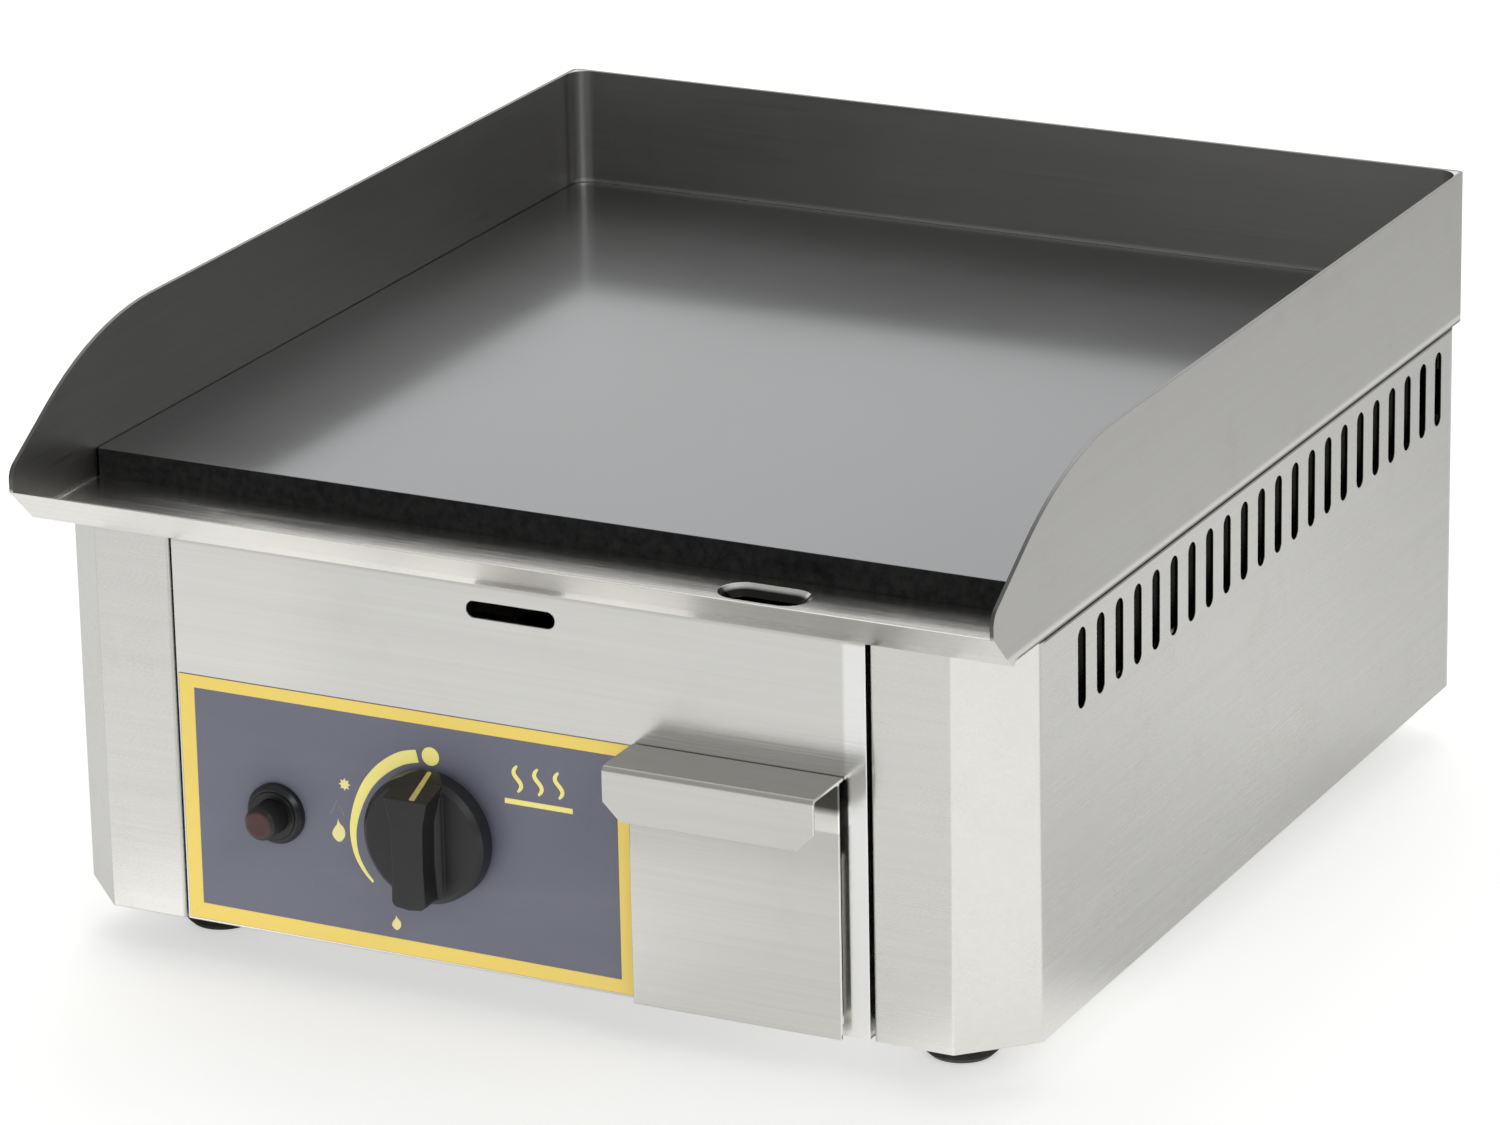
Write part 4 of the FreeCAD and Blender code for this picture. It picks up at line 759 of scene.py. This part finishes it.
# tapering arc left of the knob: x, z, half width
POWER_ARC = (
    (-40.6, 81.2, 2.5), (-47.5, 79.2, 2.55), (-55.2, 74.2, 2.4), (-61.4, 67.6, 2.15),
    (-65.6, 60.0, 1.9), (-68.2, 52.0, 1.6), (-68.9, 45.5, 1.3), (-67.9, 38.5, 1.0),
    (-65.0, 32.6, 0.75), (-61.2, 28.2, 0.5),
)


def power_arc():
    """A disc, and the arc that starts beside it."""
    bm = bmesh.new()
    ink_shape(bm, polar_points(-35, 81.9, radii=[3.6] * 28))
    ink_line(bm, smooth_path(POWER_ARC, steps=7))
    return bm


def flame_marks():
    """An eight-pointed star over a large and a small flame."""
    bm = bmesh.new()
    ink_shape(bm, polar_points(-71.8, 65.2, radii=[2.5, 1.5] * 8))
    ink_shape(bm, flame_points(-75.2, 46.6, width=5.4, height=9.2))
    ink_shape(bm, flame_points(-52, 13.6, width=3.8, height=6.0))
    return bm


def fine_marks():
    """A thin chevron over the large flame."""
    bm = bmesh.new()
    ink_line(bm, [(-78.2, 52.6, 0.28), (-75.2, 58.6, 0.28), (-72.4, 52.6, 0.28)])
    return bm


def heat_pictogram():
    """Three rising waves over a bar."""
    bm = bmesh.new()
    foot_z, rise, sway, half = 73.6, 10.2, 1.5, 0.85
    steps = 12
    for wave_x in (1.0, 9.5, 18.0):
        wave = []
        for i in range(steps + 1):
            t = i / steps
            taper = 1 - 0.5 * abs(t * 2 - 1) ** 3
            wave.append((wave_x + sway * math.sin(t * 2 * math.pi),
                         foot_z + rise * t, half * taper))
        ink_line(bm, smooth_path(wave, steps=3))
    ink_line(bm, [(x, 69.6, 1.0) for x in (-4.5, 9.5, 23.5)])
    return bm


for name, build, ink in (
    ("label_border", label_border, foil_yellow),
    ("label_power_arc", power_arc, foil_mark),
    ("label_flame_marks", flame_marks, foil_pale),
    ("label_fine_marks", fine_marks, foil_grey),
    ("label_heat_pictogram", heat_pictogram, foil_mark),
):
    add_part(name, build(), ink, "casing")

# ---------------------------------------------------------------- pointer line on the knob
# depth behind the knob's front, half width (mm)
POINTER_STATIONS = ((0.5, 0.7), (0.9, 1.2), (9, 1.1), (16.8, 0.95), (17.3, 0.6))
# section of the line: x in half widths, height over the grip's sloping end (mm)
POINTER_SECTION = ((-1, -0.3), (-1, 0.05), (-0.7, 0.22), (0.7, 0.22), (1, 0.05), (1, -0.3))


def knob_pointer():
    """Raised line along the sloping end of the grip, leaning slightly across it."""
    axis_x = (KNOB[0].x + KNOB[1].x) / 2 / MM
    axis_z = (KNOB[0].z + 0.0254 - BASE_Z) / MM    # the axis is 25.4 mm above the knob's lowest
    front = (KNOB[0].y - FRONT_Y) / MM
    front_x, back_x, lean_length = 2.4, 0.8, 18.5  # offsets from the axis and the depth between
    front_z, slope = 19.99, 0.2923                 # sloping end: height over the axis, and rise
    rings = []
    for depth, half in POINTER_STATIONS:
        middle = axis_x + front_x + (back_x - front_x) * depth / lean_length
        end_z = axis_z + front_z + depth * slope
        rings.append([point(middle + across * half, front + depth, end_z + height)
                      for across, height in POINTER_SECTION])
    add_loft("knob_pointer_line", rings, pointer_paint, "knob")


knob_pointer()


# ---------------------------------------------------------------- floor
def floor_surface():
    """A pale glowing table top: even light from below that keeps the shadow soft."""
    mat = Surface("studio_floor")
    patches = mat.vary(mat.noise(3.0, detail=3, rough=0.5))
    mat.put("Base Color", mat.mix(patches, (0.80, 0.80, 0.795), (0.82, 0.82, 0.815)))
    mat.put("Roughness", 0.9)
    mat.put("Specular IOR Level", 0.0)
    # the glow falls off away from the object and is strongest towards the right-hand front
    x, y, _ = mat.split(mat.geometry["Position"])
    radius = mat.length(x, y)
    facing = mat.math("DIVIDE", mat.add(mat.mul(x, 0.74), mat.mul(y, -0.67)),
                      mat.math("MAXIMUM", radius, 0.05))
    # brighter apron before the front, most at its left
    apron = mat.mul(mat.remap(radius, (0.29, 0.40), to=(0.42, 0.0), smooth=True),
                    mat.remap(y, behind(-0.01, -0.04), smooth=True),
                    mat.remap(x, (-0.09, 0.06), to=(1.25, 0.22), smooth=True))
    glow = mat.add(mat.remap(radius, (0.35, 1.3), to=(0.24, 0.06), smooth=True),
                   mat.remap(facing, (0.90, 0.99), to=(0.0, 0.44), smooth=True),
                   apron)
    # the camera sees an even strength; the object is lit by the shaped glow
    seen = mat.node("ShaderNodeLightPath").outputs["Is Camera Ray"]
    mat.put("Emission Color", (1.0, 1.0, 0.99))
    mat.put("Emission Strength", mat.lerp(seen, glow, 0.52))
    return mat


def build_floor():
    half = 14
    bm = bmesh.new()
    corners = ((-half, -half, 0), (half, -half, 0), (half, half, 0), (-half, half, 0))
    bm.faces.new([bm.verts.new(corner) for corner in corners])
    link_mesh("floor", bm, floor_surface())


build_floor()


# ---------------------------------------------------------------- room and lights
def build_world():
    """Dim all round, a broad bright wall behind on the left and a soft glow overhead."""
    world = bpy.data.worlds.new("studio")
    bpy.context.scene.world = world
    world.use_nodes = True
    room = Graph(world.node_tree)
    gaze = room.node("ShaderNodeTexCoord").outputs["Generated"]

    def lobe(direction, span, strength):
        """Light round a direction, rising over a span of cosines."""
        cosine = room.dot(gaze, Vector(direction).normalized())
        return room.remap(cosine, span, to=(0.0, strength), smooth=True)

    ambient = 0.36
    level = room.add(lobe((-0.46, 0.82, 0.34), span=(0.60, 0.93), strength=1.0), ambient,
                     lobe((0, 0.3, 1), span=(0.70, 0.98), strength=0.25))
    lit = room.node("ShaderNodeBackground", {"Color": (1.0, 0.998, 0.99), "Strength": level})
    plain = room.node("ShaderNodeBackground", {"Color": (1, 1, 1), "Strength": 1.0})
    seen = room.node("ShaderNodeLightPath").outputs["Is Camera Ray"]
    mixed = room.node("ShaderNodeMixShader",
                      {"Fac": seen, 1: lit.outputs[0], 2: plain.outputs[0]})
    room.node("ShaderNodeOutputWorld", {"Surface": mixed.outputs[0]})


def area_light(name, place, aim, size, power):
    light = bpy.data.lights.new(name, "AREA")
    light.shape = "SQUARE"
    light.size = size
    light.energy = power
    lamp = bpy.data.objects.new(name, light)
    bpy.context.scene.collection.objects.link(lamp)
    lamp.location = place
    lamp.rotation_mode = "QUATERNION"
    lamp.rotation_quaternion = (Vector(aim) - Vector(place)).to_track_quat("-Z", "Y")
    lamp.visible_camera = False


build_world()
area_light("key_right_front", place=(2.0, -1.5, 1.9), aim=(0.35, -0.3, 0), size=1.2, power=14)
area_light("back_softbox", place=(-0.5, 1.6, 2.2), aim=(0, 0.1, 0.1), size=1.6, power=10)


# ---------------------------------------------------------------- camera and view
def build_camera():
    """A long lens at the right-hand front, looking down on the griddle."""
    azimuth, elevation, roll = 0.470, 0.339, -0.020    # radians
    place = (1.14796, -2.06809 + FRONT_Y, 0.99359 + BASE_Z)
    gaze = Vector((-math.sin(azimuth) * math.cos(elevation),
                   math.cos(azimuth) * math.cos(elevation),
                   -math.sin(elevation)))
    level_right = gaze.cross(Vector((0, 0, 1))).normalized()
    level_up = level_right.cross(gaze)
    right = math.cos(roll) * level_right + math.sin(roll) * level_up
    up = -math.sin(roll) * level_right + math.cos(roll) * level_up

    lens = bpy.data.cameras.new("camera")
    lens.sensor_width = 36
    lens.lens = 167.22216
    lens.clip_end = 60
    camera = bpy.data.objects.new("camera", lens)
    bpy.context.scene.collection.objects.link(camera)
    rows = zip(right, up, -gaze, place)
    camera.matrix_world = Matrix((*rows, (0, 0, 0, 1)))
    bpy.context.scene.camera = camera


build_camera()

view = bpy.context.scene.view_settings
view.view_transform = "Standard"
view.look = "None"
view.exposure = 0.0
view.gamma = 1.0
